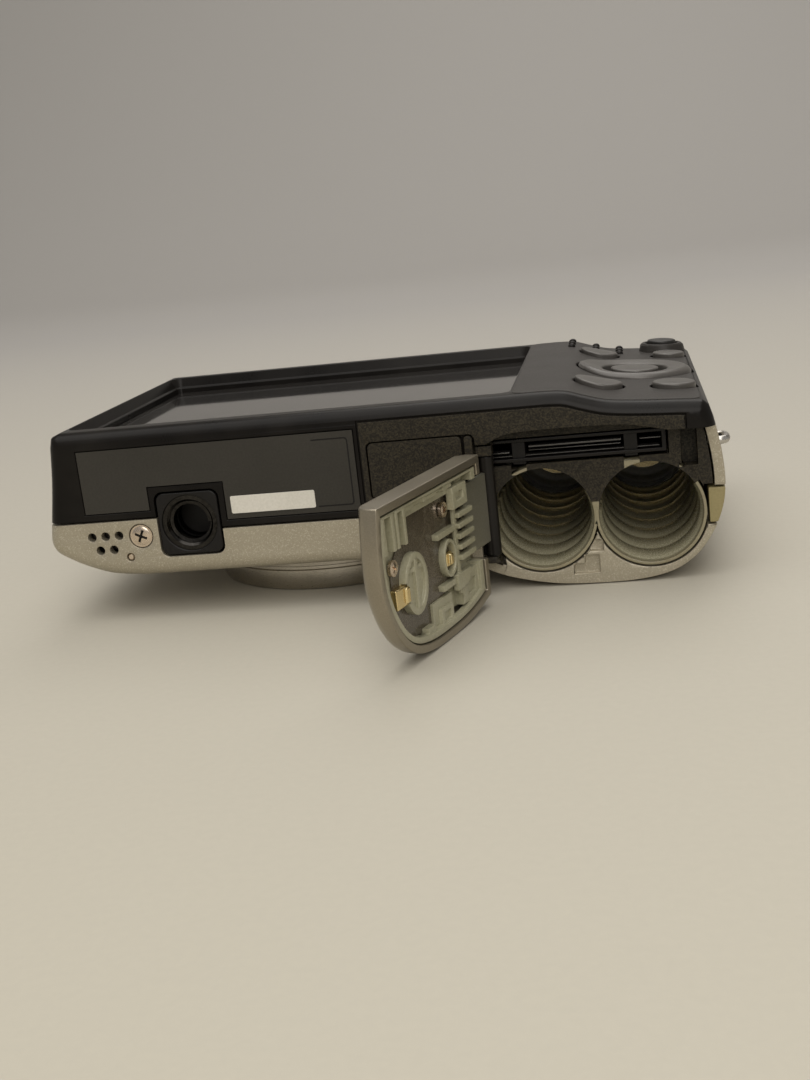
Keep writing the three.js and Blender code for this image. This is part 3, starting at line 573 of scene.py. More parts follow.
brushedFinishes = {
    "thread": ("blackened steel", metal, (0.014, 0.013, 0.012), (0.05, 0.047, 0.043), 0.24, (1, 4, 1)),
    "screw": ("nickel screw", metal, (0.52, 0.42, 0.33), (0.74, 0.63, 0.51), 0.26, (5, 1, 1)),
    "steel": ("bright steel", metal, (0.48, 0.46, 0.43), (0.68, 0.66, 0.62), 0.28, (1, 1, 5)),
    "gold": ("gold contact", metal, (0.72, 0.56, 0.27), (0.86, 0.72, 0.42), 0.24, (1, 5, 1)),
    "ring": ("lens ring metal", metal, (0.40, 0.37, 0.31), (0.56, 0.52, 0.45), 0.3, (1, 1, 6)),
    "mirror": ("reflector", metal, (0.7, 0.7, 0.69), (0.85, 0.85, 0.84), 0.14, (4, 1, 1)),
}
looks = {}
for look, finishValues in ownFinishes.items():
    looks[look] = newMaterial(*finishValues)
for kind, table in ((satin, satinFinishes), (brushed, brushedFinishes)):
    for look, (title, steady, *tones) in table.items():
        looks[look] = newMaterial(title, steady, kind(*tones))
print("the materials are made")

# The case
case = Values(height=59.7, depth=28.8, wall=1.5, edgeRound=2.0, deckZ=24.6, gap=0.25)
seam = Values(left=15.4, middle=13.2, door=22.1, stepX=-28.3, doorX=14.4, halfGap=0.13)
leftEnd = [(-48.4, 26.9), (-49.1, 21.5), (-50.2, 15.5), (-50.6, 12.8), (-50, 11), (-48.2, 9.7), (-45.4, 8.3)]
leftEnd += [(-41.5, 7), (-36.5, 6.5)]
grip = [(8.2, 6.5), (10.6, 5.4), (13.4, 3.8), (16.6, 2.3), (20.4, 1.2), (25, 0.4), (30.5, 0.15), (36.5, 0.35)]
grip += [(41.2, 1.4), (44.6, 3.6), (47.1, 7), (48.5, 10.6), (48.9, 14), (48.7, 17.5), (48.2, 20.8)]
grip += [(47.6, 23.6)]
deckLine = [(46.3, 25.9), (43, 26.15), (38, 26.45), (33.5, 26.9), (30.5, 27.7), (27.6, 28.6), (24.5, 28.8)]
deckPoints = smoothLine(deckLine, 30)
caseLine = smoothLine(leftEnd, 36) + smoothLine(grip, 84) + [(47.1, 25.2)] + deckPoints
caseLine += [(-46.8, 28.8), (-48, 28.3)]


def lineDistance(point, line):
    nearest = 1e9
    for i, (a0, b0) in enumerate(line):
        a1, b1 = line[(i + 1) % len(line)]
        da = a1 - a0
        db = b1 - b0
        length = da * da + db * db or 1e-12
        t = min(1, max(0, ((point[0] - a0) * da + (point[1] - b0) * db) / length))
        nearest = min(nearest, math.hypot(point[0] - a0 - t * da, point[1] - b0 - t * db))
    return nearest


# Moves a closed line inwards. A corner that this closes up stays on the last good point.
def inset(line, distance):
    if distance == 0:
        return line
    count = len(line)
    nextPoints = line[1:] + line[:1]
    area = sum(a * d - c * b for (a, b), (c, d) in zip(line, nextPoints))
    turn = 1 if area > 0 else -1
    moved = []
    for i, (a, b) in enumerate(line):
        before = Vector((a - line[i - 1][0], b - line[i - 1][1])).normalized()
        after = Vector((nextPoints[i][0] - a, nextPoints[i][1] - b)).normalized()
        first = Vector((-before.y, before.x)) * turn
        middle = (first + Vector((-after.y, after.x)) * turn).normalized()
        reach = distance / max(middle.dot(first), 0.2)
        moved.append((a + middle.x * reach, b + middle.y * reach))
    good = [lineDistance(point, line) > distance - 0.003 for point in moved]
    result = []
    for i in range(count):
        k = i
        while not good[k]:
            k -= 1
        result.append(moved[k])
    return result


# Extrudes a line in X and Z along Y, with both end edges rounded.
def roundedPrism(line, low, high, rounding, steps=6):
    rings = []
    for i in range(steps + 1):
        angle = math.pi / 2 * i / steps
        rise = rounding * (1 - math.cos(angle))
        rings.append((inset(line, rounding * (1 - math.sin(angle))), low + rise, high - rise))
    stack = [[(a, y0, b) for a, b in ring] for ring, y0, y1 in rings]
    stack += [[(a, y1, b) for a, b in ring] for ring, y0, y1 in reversed(rings)]
    return loft(stack)


# The region behind the seam between the covers, with its edge moved forwards by a margin.
def behindSeam(margin):
    line = [(-70, seam.left - margin), (seam.stepX - margin, seam.left - margin)]
    line += [(seam.stepX - margin, seam.middle - margin), (seam.doorX + margin, seam.middle - margin)]
    line += [(seam.doorX + margin, seam.door - margin), (70, seam.door - margin), (70, 40), (-70, 40)]
    return prism(line, -10, case.height + 10)


caseBody = roundedPrism(caseLine, 0, case.height, case.edgeRound)
hollow = roundedPrism(inset(caseLine, case.wall), case.wall, case.height - case.wall, 0.8, 3)
hollow = common(hollow, block(-70, 70, -10, 80, -5, case.deckZ))
caseShell = carve(twin(caseBody), hollow)

tripod = Values(x=-28.3, z=14.25, size=9.3, corner=1.3, thread=3.175)
speakerHoles = Values(firstRow=(-43.6, 13.1), secondRow=(-42.6, 11.0), radius=0.65)
bottomScrew = Values(x=-36.0, z=12.8, radius=1.7)
casePin = Values(x=-38.1, z=9.7, radius=0.5)
flash = Values(x0=-2.0, x1=10.0, y0=49.6, y1=55.6)
timerLamp = Values(x=12.9, y=51.0, radius=1.5)
shutter = Values(x=31.0, z=12.5, radius=4.2, leverInner=4.7, leverOuter=7.0)
power = Values(x=12.0, z=9.8, radius=2.6)
lens = Values(x=-12.5, y=29.3, ring=20.5, bore=17.3, outer=16.8, inner=13.0, aperture=4.2)
sideCover = Values(x=46.5, y0=3.55, y1=8.0, z0=8.0, z1=13.0)
eyelet = Values(y0=10.0, y1=18.0, z0=15.6, z1=20.0)
cells = Values(centres=((23.04, 10.25), (38.4, 10.1)), radius=7.35, skin=0.45, y0=3.5, bottom=55.0)
card = Values(x0=15.6, x1=41.1, y0=3.7, y1=28.0, z0=18.75, z1=22.0)
door = Values(thick=3.2, skin=0.9, rim=1.1, x0=17.6, top=21.9)
height = case.height
wideGap = case.gap


def tripodPocket(extra=wideGap):
    half = tripod.size / 2 + extra
    line = roundRectangle(
        tripod.x - half, tripod.x + half, tripod.z - half, tripod.z + half, tripod.corner
    )
    return prism(line, -1, case.wall + 2)


# Five sound holes in two rows, as one cutting tool.
def soundHoles(entry, inputs):
    rows = []
    for label, amount in (("First Row", 3), ("Second Row", 2)):
        start = {"Count": amount, "Start Location": inputs[label], "Offset": inputs["Step"]}
        rows.append(entry.node("MeshLine", start))
    both = entry.node("JoinGeometry").feed(0, rows)
    size = {"Vertices": 24, "Radius": inputs["Radius"], "Depth": inputs["Depth"]}
    hole = entry.node("MeshCylinder", size)
    turn = {"Points": both, "Instance": hole, "Rotation": (math.pi / 2, 0, 0)}
    return entry.node("InstanceOnPoints", turn)


holeTool = grow(
    "sound holes",
    {
        "First Row": (speakerHoles.firstRow[0], 0.0, speakerHoles.firstRow[1]),
        "Second Row": (speakerHoles.secondRow[0], 0.0, speakerHoles.secondRow[1]),
        "Step": (2.1, 0.0, 0.0),
        "Radius": speakerHoles.radius,
        "Depth": 8.0,
    },
    soundHoles,
    "champagne",
)

# Silver front cover: front wall, grip, most of the side walls, and the lip round the cell bores
frontShell = carve(twin(caseShell), behindSeam(seam.halfGap))
lip = common(twin(caseBody), block(17.2, 47.6, door.thick + 0.2, 5.4, -1, 9.2))
frontShell = weld(frontShell, lip)
boreTools = []
for x, z in cells.centres:
    boreTools.append(rod(x, z, cells.radius + cells.skin + wideGap, 1, 56.3, steps=64))
flashLine = roundRectangle(
    flash.x0 - wideGap, flash.x1 + wideGap, flash.y0 - wideGap, flash.y1 + wideGap, 1
)
frontShell = carve(
    frontShell,
    block(seam.doorX - 0.05, 60, -1, door.thick + 0.2, -1, seam.door + 0.2),
    tripodPocket(),
    rod(lens.x, lens.y, lens.bore, 3, 11, "z", 96),
    prism(flashLine, 0, 12, "z"),
    rod(timerLamp.x, timerLamp.y, timerLamp.radius + wideGap, 0, 12, "z"),
    rod(shutter.x, shutter.z, shutter.radius - 1.2, height - 5, height + 5),
    rod(power.x, power.z, power.radius + wideGap, height - 5, height + 5),
    rod(bottomScrew.x, bottomScrew.z, bottomScrew.radius + 0.15, -1, 0.9),
    rod(bottomScrew.x, bottomScrew.z, 1.1, -1, 5),
    rod(casePin.x, casePin.z, casePin.radius + 0.12, -1, 5, steps=24),
    block(sideCover.x - 0.3, 60, -1, sideCover.y1 + 0.3, sideCover.z0 - 0.3, sideCover.z1 + 0.3),
    block(46, 60, eyelet.y0 + 1, eyelet.y1 - 1, eyelet.z0 + 1, eyelet.z1 - 1),
    holeTool,
    prism([(29.4, 4.9), (29.4, 6.6), (31.4, 6.6), (31.4, 4.9)], 1, 4.6),
    prism([(27, 1.7), (27, 3.2), (28.6, 3.2), (28.6, 4.4), (30.7, 4.4), (30.7, 1.7)], 1, 4.3),
    *boreTools,
)
finish(soften(frontShell, 0.12), "frontShell", "champagne", "front_cover")
print("the front cover is made")

# Black rear cover, with the raised rim round the screen
screen = Values(x0=-45.3, x1=18.7, y0=5.0, y1=55.0, top=26.2, thick=1.1)
port = Values(x0=-0.6, x1=12.8, z0=15.7, z1=23.8)
label = Values(x0=-44.0, x1=-2.5, top=26.0, left=16.6, right=14.4, notch=20.1, thick=0.25)
keys = Values(
    menu=Values(x=32.2, y=13.6, radius=3.4),
    delete=Values(x=43.0, y=13.8, radius=3.1),
    playback=Values(x=43.4, y=46.4, radius=2.6),
    mode=Values(x=32.0, y=46.4, radius=3.0),
    record=Values(x=42.6, y=54.4, radius=2.4),
)
selector = Values(x=37.6, y=30.0, outer=8.7, inner=5.0, ok=3.7)
archLine = [(15.4, 21.9), (18.4, 23.3), (21.2, 23.7), (26.8, 23.8), (35, 23.6), (39, 22.9), (43, 21.9)]


def labelLine(extra):
    notchLeft = tripod.x - tripod.size / 2 - 1.1 + extra
    notchRight = tripod.x + tripod.size / 2 + 1.25 - extra
    line = [(label.x0 - extra, label.left - extra), (notchLeft, label.left - extra)]
    line += [(notchLeft, label.notch - extra), (notchRight, label.notch - extra)]
    line += [(notchRight, label.right - extra), (label.x1 + extra, label.right - extra)]
    return line + [(label.x1 + extra, label.top + extra), (label.x0 - extra, label.top + extra)]


# The mouth round the screen has two sloped walls with a narrow ledge between them.
def screenMouth():
    steps = [(0.22, 24.9), (0.3, 27.0), (0.75, 27.15), (1.35, case.depth + 0.02), (1.35, 31)]
    rings = []
    for extra, z in steps:
        line = roundRectangle(
            screen.x0 - extra,
            screen.x1 + extra * 0.9,
            screen.y0 - extra * 0.75,
            screen.y1 + extra,
            0.5 + extra,
        )
        rings.append([(a, b, z) for a, b in line])
    return loft(rings)


panelLine = inset(caseLine, 1.9)
panelGroove = inset(caseLine, 1.66)
panelEdge = -1.6


# Cuts that the rear cover and its bottom panel share.
def bottomCuts():
    return [
        tripodPocket(),
        prism(labelLine(0.12), -1, label.thick + 0.1),
        prism(roundRectangle(port.x0 - 0.2, port.x1 + 1.9, port.z0 - 0.2, port.z1 + 0.2, 0.9), -1, 0.95),
        block(port.x1 + 0.3, port.x1 + 1.9, -1, 0.95, 14.4, port.z0 + 1.2),
        prism(smoothLine(archLine, 30), -1, door.thick + 0.2),
    ]


def keyHoles(extra, low, high):
    holes = [rod(key.x, key.y, key.radius + wideGap + extra, low, high, "z") for key in keys.values()]
    return holes + [rod(selector.x, selector.y, selector.outer + wideGap + extra, low, high, "z", 96)]


rearShell = common(twin(caseShell), behindSeam(-seam.halfGap))
panelPocket = common(prism(panelGroove, -1, 0.3), block(panelEdge - 0.25, 43.9, -2, 2, 5, 30))
rearShell = carve(
    rearShell,
    screenMouth(),
    block(-43.8, 17.8, 7.2, 53.6, case.deckZ - 1, 27),
    block(port.x0 + 1.6, port.x1 - 1.6, -1, 5, port.z0 + 1, port.z1 - 1),
    rod(shutter.x, shutter.z, shutter.radius + 4, height - 5, height + 5),
    panelPocket,
    *bottomCuts(),
    *keyHoles(0.1, case.deckZ - 1, 30),
)
finish(soften(rearShell, 0.14), "rearShell", "black", "rear_cover")

# Textured panel set in the bottom face, from the label to the grip end, with a groove round it
panelRegion = behindSeam(-seam.halfGap - 0.1)
bottomPanel = common(prism(panelLine, 0, 0.62), block(panelEdge, 43.7, -2, 2, 5, 30), panelRegion)
bottomPanel = carve(bottomPanel, *bottomCuts())
finish(soften(bottomPanel, 0.1), "bottomPanel", "textured", sharp=30)
print("the rear cover is made")

# Control deck: a lighter sheet over the rear face beside the screen
deckSheet = Values(left=20.25, right=46.1, low=2.1, high=57.7, corner=1.6, rise=0.07)
deckTop = [(x, z + deckSheet.rise) for x, z in deckPoints]
deckTop += [(deckSheet.left - 2, case.depth + deckSheet.rise)]
deckUnder = [(x, z - 0.35) for x, z in reversed(deckTop)]
deckPanel = prism(deckTop + deckUnder, 0, height)
deckEdge = roundRectangle(
    deckSheet.left, deckSheet.right, deckSheet.low, deckSheet.high, deckSheet.corner
)
deckPanel = common(deckPanel, prism(deckEdge, 20, 40, "z"))
carve(deckPanel, *keyHoles(0.17, 20, 40))
finish(soften(deckPanel, 0.05), "deckPanel", "deck")


def deckHeight(x):
    for (x1, z1), (x0, z0) in zip(deckPoints, deckPoints[1:]):
        if x0 <= x <= x1:
            return z0 + (z1 - z0) * (x - x0) / (x1 - x0) + deckSheet.rise
    return deckPoints[-1 if x < 30 else 0][1] + deckSheet.rise


# Tilts a level key so that its top follows the deck's slope.
def leanOnDeck(piece, middle):
    for vertex in piece.data.vertices:
        if vertex.co.z > case.deckZ + 0.6:
            vertex.co.z += deckHeight(vertex.co.x) - deckHeight(middle)
    return piece


# Columns of grip bumps for the thumb, each at the deck's own height
def thumbBumps(entry, inputs):
    columns = []
    for label in ("First Column", "Second Column", "Third Column"):
        row = {"Count": 3, "Start Location": inputs[label], "Offset": inputs["Step"]}
        columns.append(entry.node("MeshLine", row))
    rows = entry.node("JoinGeometry").feed(0, columns)
    shape = {"Segments": 24, "Rings": 14, "Radius": inputs["Radius"]}
    dome = entry.node("MeshUVSphere", shape)
    flat = entry.node("Transform", {"Geometry": dome, "Scale": (1.0, 1.0, 0.8)})
    return entry.node("InstanceOnPoints", {"Points": rows, "Instance": flat})


bumpPlaces = Values(columns=(27.3, 31.3, 35.3), firstRow=50.6, step=3.3)
bumps = {"Radius": 0.66, "Step": (0.0, bumpPlaces.step, 0.0)}
for column, x in zip(("First Column", "Second Column", "Third Column"), bumpPlaces.columns):
    bumps[column] = (x, bumpPlaces.firstRow, deckHeight(x))
finish(grow("thumbBumps", bumps, thumbBumps, "black"), "thumbBumps", "black")
print("the control deck is made")

# Screen window; the panel behind it is the CAD part, finished further down
window = prism(
    roundRectangle(screen.x0, screen.x1, screen.y0, screen.y1, 0.6),
    screen.top - screen.thick,
    screen.top,
    "z",
)
finish(soften(window, 0.1), "screenWindow", "window", "screen_window")

# Rating label with a printed line near its edge, and the blank sticker on it
film = soften(prism(labelLine(0), 0.02, label.thick), 0.05)
finish(film, "ratingLabel", "label", "rating_label")
borderLine = carve(
    prism(roundRectangle(-20.6, label.x1 - 0.8, label.right + 0.8, label.top - 0.9, 0.5), 0, 0.1),
    prism(roundRectangle(-20.3, label.x1 - 1.0, label.right + 1.0, label.top - 1.1, 0.4), -1, 1),
    block(-30, -8.6, -1, 1, 10, 30),
)
finish(borderLine, "labelBorder", "tripod")
sticker = soften(prism(roundRectangle(-21.6, -9, 15.2, 17.8, 0.25), -0.1, 0.02), 0.03)
finish(sticker, "blankSticker", "sticker", "serial_sticker")

# Tripod socket: a black block with a threaded bush
half = tripod.size / 2
blockLine = roundRectangle(tripod.x - half, tripod.x + half, tripod.z - half, tripod.z + half, 1.2)
socketBlock = carve(
    prism(blockLine, 0.05, 6.5), rod(tripod.x, tripod.z, tripod.thread + 1.0, -1, 5.7, steps=64)
)
finish(soften(socketBlock, 0.18, 3), "tripodBlock", "tripod", "tripod_block")
bushShape = around(tripod.thread, 0, (0.35, 0.3), (0.95, 0.3), (0.95, 5.5), (0.02, 5.5), (0.02, 0.65))
bush = turned(bushShape, tripod.x, tripod.z, "y", 64)
finish(bush, "tripodBush", "thread", "tripod_bush")


# A thread: a three-sided profile swept along a helix.
def threadHelix(entry, inputs):
    helix = {"Resolution": 40, "Rotations": inputs["Turns"], "Start Radius": inputs["Radius"]}
    helix["End Radius"] = inputs["Radius"]
    helix["Height"] = inputs["Length"]
    path = entry.node("CurveSpiral", helix)
    profile = entry.node("CurvePrimitiveCircle", {"Resolution": 3, "Radius": inputs["Depth"]})
    parts = {"Curve": path, "Profile Curve": profile, "Fill Caps": True}
    swept = entry.node("CurveToMesh", parts)
    turn = {"Geometry": swept, "Rotation": (-math.pi / 2, 0.0, 0.0), "Translation": inputs["Mouth"]}
    return entry.node("Transform", turn)


threadSize = {"Turns": 3.8, "Radius": tripod.thread - 0.02, "Length": 4.8, "Depth": 0.42}
threadSize["Mouth"] = (tripod.x, 0.6, tripod.z)
thread = grow("tripodThread", threadSize, threadHelix, "thread")
finish(thread, "tripodThread", "thread")


# Cross-head screws: a domed head with a cross cut in it, at each of the given places.
def crossScrews(entry, inputs):
    head = {"Vertices": 32, "Radius": inputs["Radius"], "Depth": inputs["Head"]}
    disc = entry.node("MeshCylinder", head)
    dome = {"Segments": 32, "Rings": 16, "Radius": inputs["Radius"]}
    ball = entry.node("MeshUVSphere", dome)
    squash = {"Geometry": ball, "Scale": (1.0, 1.0, 0.3)}
    top = entry.node("Transform", squash)
    narrow = inputs["Radius"] * 0.22
    wide = inputs["Radius"] * 1.15
    deep = inputs["Head"] * 1.6
    cutters = []
    for x, y in ((wide, narrow), (narrow, wide)):
        size = entry.node("CombineXYZ", {"X": x, "Y": y, "Z": deep})
        bar = entry.node("MeshCube", {"Size": size})
        lift = entry.node("CombineXYZ", {"Z": inputs["Head"] * 0.75})
        cutters.append(entry.node("Transform", {"Geometry": bar, "Translation": lift}))
    body = entry.node("MeshBoolean", operation="UNION", solver="EXACT").feed("Mesh 2", (disc, top))
    cut = entry.node("MeshBoolean", {"Mesh 1": body}, operation="DIFFERENCE", solver="EXACT")
    cut.feed("Mesh 2", cutters)
    points = entry.node("MeshLine", {"Count": 1, "Start Location": inputs["Place"]})
    turn = entry.node("EulerToRotation", {"Euler": inputs["Turn"]})
    return entry.node("InstanceOnPoints", {"Points": points, "Instance": cut, "Rotation": turn})


screwSize = {"Radius": bottomScrew.radius, "Head": 0.5}
screwSize["Place"] = (bottomScrew.x, 0.42, bottomScrew.z)
screwSize["Turn"] = (math.pi / 2, math.radians(24), 0.0)
headPiece = grow("bottomScrew", screwSize, crossScrews, "screw")
finish(headPiece, "bottomScrew", "screw", "bottom_screw", sharp=30)
# A black cross at the bottom of the screw's cross cut: painted shade in the cut.
crossShade = weld(block(-1.02, 1.02, 0.38, 0.5, -0.19, 0.19), block(-0.19, 0.19, 0.38, 0.5, -1.02, 1.02))
screwPlace = Vector((bottomScrew.x, 0, bottomScrew.z))
crossShade.data.transform(Matrix.Translation(screwPlace) @ Matrix.Rotation(math.radians(24), 4, "Y"))
finish(crossShade, "screwRecess", "tripod")
pinShape = [(0, 0.12), (0.34, 0.14), (0.5, 0.3), (0.5, 2.5), (0, 2.5)]
pin = turned(pinShape, casePin.x, casePin.z, "y", 24)
finish(pin, "casePin", "screw", "case_pin")

# Rubber cover over the connectors, with its anchor strip
flap = weld(
    prism(roundRectangle(port.x0, port.x1, port.z0, port.z1, 0.7), 0.03, 0.9),
    prism(roundRectangle(port.x0 + 2, port.x1 - 2, port.z0 + 1.5, port.z1 - 1.5, 0.5), 0.8, 1.9),
)
soften(flap, 0.09)
finish(flap, "connectorCover", "rubber", "connector_cover", "connector_flap", sharp=30)
anchor = prism(roundRectangle(port.x1 + 0.42, port.x1 + 1.55, 14.55, port.z1 - 0.05, 0.5), 0.04, 0.88)
finish(soften(anchor, 0.1), "connectorAnchor", "rubber", "connector_anchor", sharp=30)

# Rubber cover at the grip end
sideBlock = block(
    sideCover.x, 60, sideCover.y0, sideCover.y1, sideCover.z0, sideCover.z1
)
sideFlap = soften(common(twin(caseBody), sideBlock), 0.14)
finish(sideFlap, "endCover", "khakiRubber", "dc_cover", "dc_flap")

# Strap eyelet: a bent steel wire with both ends in the wall
loopLine = [(46.4, eyelet.y0 + 1.9), (48.6, eyelet.y0 + 1.9), (49.5, eyelet.y0 + 2.2)]
loopLine += [(49.9, eyelet.y0 + 3.0), (49.9, eyelet.y1 - 3.0), (49.5, eyelet.y1 - 2.2)]
loopLine += [(48.6, eyelet.y1 - 1.9), (46.4, eyelet.y1 - 1.9)]


# A round wire that follows a line, with its ends closed.
def wireAlong(entry, inputs):
    start = entry.node("CurvePrimitiveCircle", {"Resolution": 16, "Radius": inputs["Radius"]})
    route = entry.node("ObjectInfo", {"Object": inputs["Route"]}, "Geometry")
    line = entry.node("MeshToCurve", {"Mesh": route})
    parts = {"Curve": line, "Profile Curve": start, "Fill Caps": True}
    return entry.node("CurveToMesh", parts)


wirePoints = [(a, b, (eyelet.z0 + eyelet.z1) / 2 + 0.2) for a, b in smoothLine(loopLine, 40)]
routeMesh = bpy.data.meshes.new("route")
routeMesh.from_pydata(wirePoints, [(i, i + 1) for i in range(len(wirePoints) - 1)], [])
route = bpy.data.objects.new("route", routeMesh)
bpy.context.scene.collection.objects.link(route)
loop = grow("strapEyelet", {"Radius": 0.62, "Route": route}, wireAlong, "steel")
bpy.data.objects.remove(route)
finish(closeUp(loop), "strapEyelet", "steel", "strap_eyelet")
print("the bottom fittings are made")

# Cell chamber: two joined bores
bridge = block(cells.centres[0][0], cells.centres[1][0], cells.y0, 56, 10, 17.9)
outside = [rod(x, z, cells.radius + cells.skin, cells.y0, 56, steps=72) for x, z in cells.centres]
bores = [rod(x, z, cells.radius, 0, cells.bottom, steps=72) for x, z in cells.centres]
chamber = carve(weld(outside[0], outside[1], bridge), *bores)
finish(soften(chamber, 0.1, 2, 50), "cellLiner", "liner", "battery_chamber")


# Ribs that run round the lower part of a bore, one behind the other.
def boreRibs(entry, inputs):
    arc = {"Resolution": 56, "Radius": inputs["Radius"]}
    arc |= {"Start Angle": inputs["Start"], "Sweep Angle": inputs["Sweep"]}
    path = entry.node("CurveArc", arc, mode="RADIUS")
    upright = entry.node("Transform", {"Geometry": path, "Rotation": (-math.pi / 2, 0.0, 0.0)})
    corners = {
        "Bottom Width": inputs["Width"],
        "Top Width": inputs["Width"] * 0.72,
        "Height": inputs["Depth"],
        "Offset": inputs["Width"] * -0.14,
    }
    profile = entry.node("CurvePrimitiveQuadrilateral", corners, mode="TRAPEZOID")
    parts = {"Curve": upright, "Profile Curve": profile, "Fill Caps": True}
    rib = entry.node("CurveToMesh", parts)
    row = {"Count": inputs["Count"], "Start Location": inputs["First"], "Offset": inputs["Step"]}
    points = entry.node("MeshLine", row)
    return entry.node("InstanceOnPoints", {"Points": points, "Instance": rib})


ribs = Values(count=8, step=5.9, first=6.4, depth=0.8, width=5.2, start=176.0, sweep=212.0)
# Painted light for the ribs: a lit front, a shaded back, and painted shade for the grooves.
ribLightAndShadeTones = Values(groove=(0.02, 0.016, 0.009), front=(0.58, 0.545, 0.385), back=(0.2, 0.178, 0.108))


# Glossy khaki with painted light: each rib is painted lit at its front and shaded towards its back, and
# painted shade makes the grooves between them nearly black.
def ribPaint(where):
    start = drawingOrigin.y + (ribs.first - ribs.width / 2 - 0.35) / 1000
    phase = ((where.axis("y") - start) * (1000 / ribs.step)).fraction()
    grain = where.noise(0.0002, 2)
    cloud = where.noise(0.006, 3)
    # Painted light and shade along each rib, mixed with some random cloud.
    tone = (phase * 0.8 + cloud * 0.4).between(0.1, 1.0).blend(ribLightAndShadeTones.front, ribLightAndShadeTones.back)
    # Mask of the painted groove shade at the start of each rib.
    edge = phase.between(0.16, 0.22)
    tone = edge.blend(ribLightAndShadeTones.groove, tone)
    roughness = grain * 0.08 + 0.2 + cloud * 0.06
    return {"Base Color": tone, "Roughness": roughness, "Normal": grain.bump(0.000006, 0.4)}


looks["rib"] = newMaterial("khaki rib", {"Coat Weight": 0.6, "Metallic": 0.2}, ribPaint)
for number, (x, z) in enumerate(cells.centres, 1):
    ribSize = {
        "Radius": cells.radius,
        "Start": math.radians(-ribs.start - ribs.sweep),
        "Sweep": math.radians(ribs.sweep),
        "Width": ribs.width,
        "Depth": ribs.depth,
        "Count": ribs.count,
        "First": (x, ribs.first, z),
        "Step": (0.0, ribs.step, 0.0),
    }
    ribPiece = grow("boreRibs" + str(number), ribSize, boreRibs, "rib")
    finish(ribPiece, "boreRibs" + str(number), "rib", sharp=40)

# Inner frame round the mouth of the bores
frameInside = prism(inset(caseLine, case.wall + 0.25), 1.9, 7)
mouthFrame = common(block(13.2, 47.6, 1.9, 7, 4, 23.75), frameInside)
mouthFrame = weld(mouthFrame, block(14.7, 16.9, 0.5, 4.6, 4.9, 5.8), block(14.7, 16.9, 0.5, 3.35, 20.6, 22))
mouthFrame = carve(
    mouthFrame,
    block(14.3, 60, 1, 3.45, 5.8, 20.6),
    block(16.9, 60, 1, 3.45, 0, 24),
    *[rod(x, z, cells.radius + cells.skin + 0.3, 0, 20, steps=72) for x, z in cells.centres],
    block(cells.centres[0][0], cells.centres[1][0], 0, 20, 2, 18.2),
    block(17.5, 46.9, 0, 20, 0, 9.5),
    block(card.x0 - 0.3, card.x1 + 0.3, 3.4, 20, 17.8, card.z1 + 0.25),
    block(43.1, 45.3, 0, 6, 16.5, 21.6),
    block(sideCover.x - 0.6, 60, 0, 20, 2, sideCover.z1 + 0.6),
    rod(hingePin.x, hingePin.y, 0.72, 4.9, 21.4, "z", 24),
)
finish(soften(mouthFrame, 0.08), "mouthFrame", "frame", "battery_frame", sharp=30)

# Filling between the bores and the card slot, in the textured plastic of the frame
webLine = [(15.9, 18.35), (15.9, 14.2), (23.04, 10.3), (38.4, 10.1), (46, 14.6)]
webLine += [(46, 16.3), (42.7, 16.3), (42.7, 18.35)]
webPlate = prism(webLine, 3.48, 3.95)
webPlate = carve(
    webPlate,
    *[rod(x, z, cells.radius + 0.02, 0, 20, steps=72) for x, z in cells.centres],
    block(19.2, 21.4, 0, 9, 16.9, 20),
    block(35.1, 37.3, 0, 9, 15.9, 20),
    block(30.2, 31.2, 0, 9, 8.0, 12.2),
)
finish(webPlate, "boreWeb", "frame", sharp=30)

# Card slot with its guide rails
slotBody = carve(
    block(card.x0, card.x1, card.y0, card.y1, card.z0, card.z1),
    block(card.x0 + 0.6, card.x1 - 0.6, 0, card.y1 - 1, card.z0 + 0.5, card.z1 - 0.45),
)
finish(soften(slotBody, 0.1), "cardSlot", "slot", "card_slot")
rails = [(15.9, 40.6, 21.78, 0.07, 3.9), (21.9, 34.9, 20.85, 0.11, 3.8), (37.5, 40.4, 20.7, 0.07, 4.1)]
rails += [(16.4, 19.1, 20.1, 0.08, 4.1), (16.6, 40.2, 19.5, 0.06, 4.4), (21.9, 34.8, 20.25, 0.05, 4.2)]
for number, (x0, x1, z, thick, y) in enumerate(rails, 1):
    rail = soften(block(x0, x1, y, y + 1.6, z - thick, z + thick), 0.025)
    finish(rail, "cardRail" + str(number), "rail")
for number, x in enumerate((20.4, 36.2), 1):
    notch = soften(block(x - 0.95, x + 0.95, 4.1, 6.4, 18.3, 21.6), 0.12)
    finish(notch, "slotPost" + str(number), "tripod")
print("the chamber and the card slot are made")

# Battery door, drawn closed: the painted skin
skin = common(twin(caseBody), block(door.x0, 60, -1, door.thick, -1, door.top))
skinHollow = prism(inset(caseLine, door.rim), door.skin, door.thick + 1)
skinHollow = common(skinHollow, block(door.x0 + door.rim, 60, -1, 10, -1, door.top - door.rim))
skin = carve(
    skin,
    skinHollow,
    block(door.x0 - 1, door.x0 + 3, door.skin + 0.1, 10, 7.2, 19.2),
    prism([(door.x0 - 0.5, -0.5), (door.x0 + 1.7, -0.5), (door.x0 - 0.5, 1.7)], -5, 30, "z"),
)
finish(soften(skin, 0.16, 3), "doorSkin", "doorPaint", "door_cover", "door")

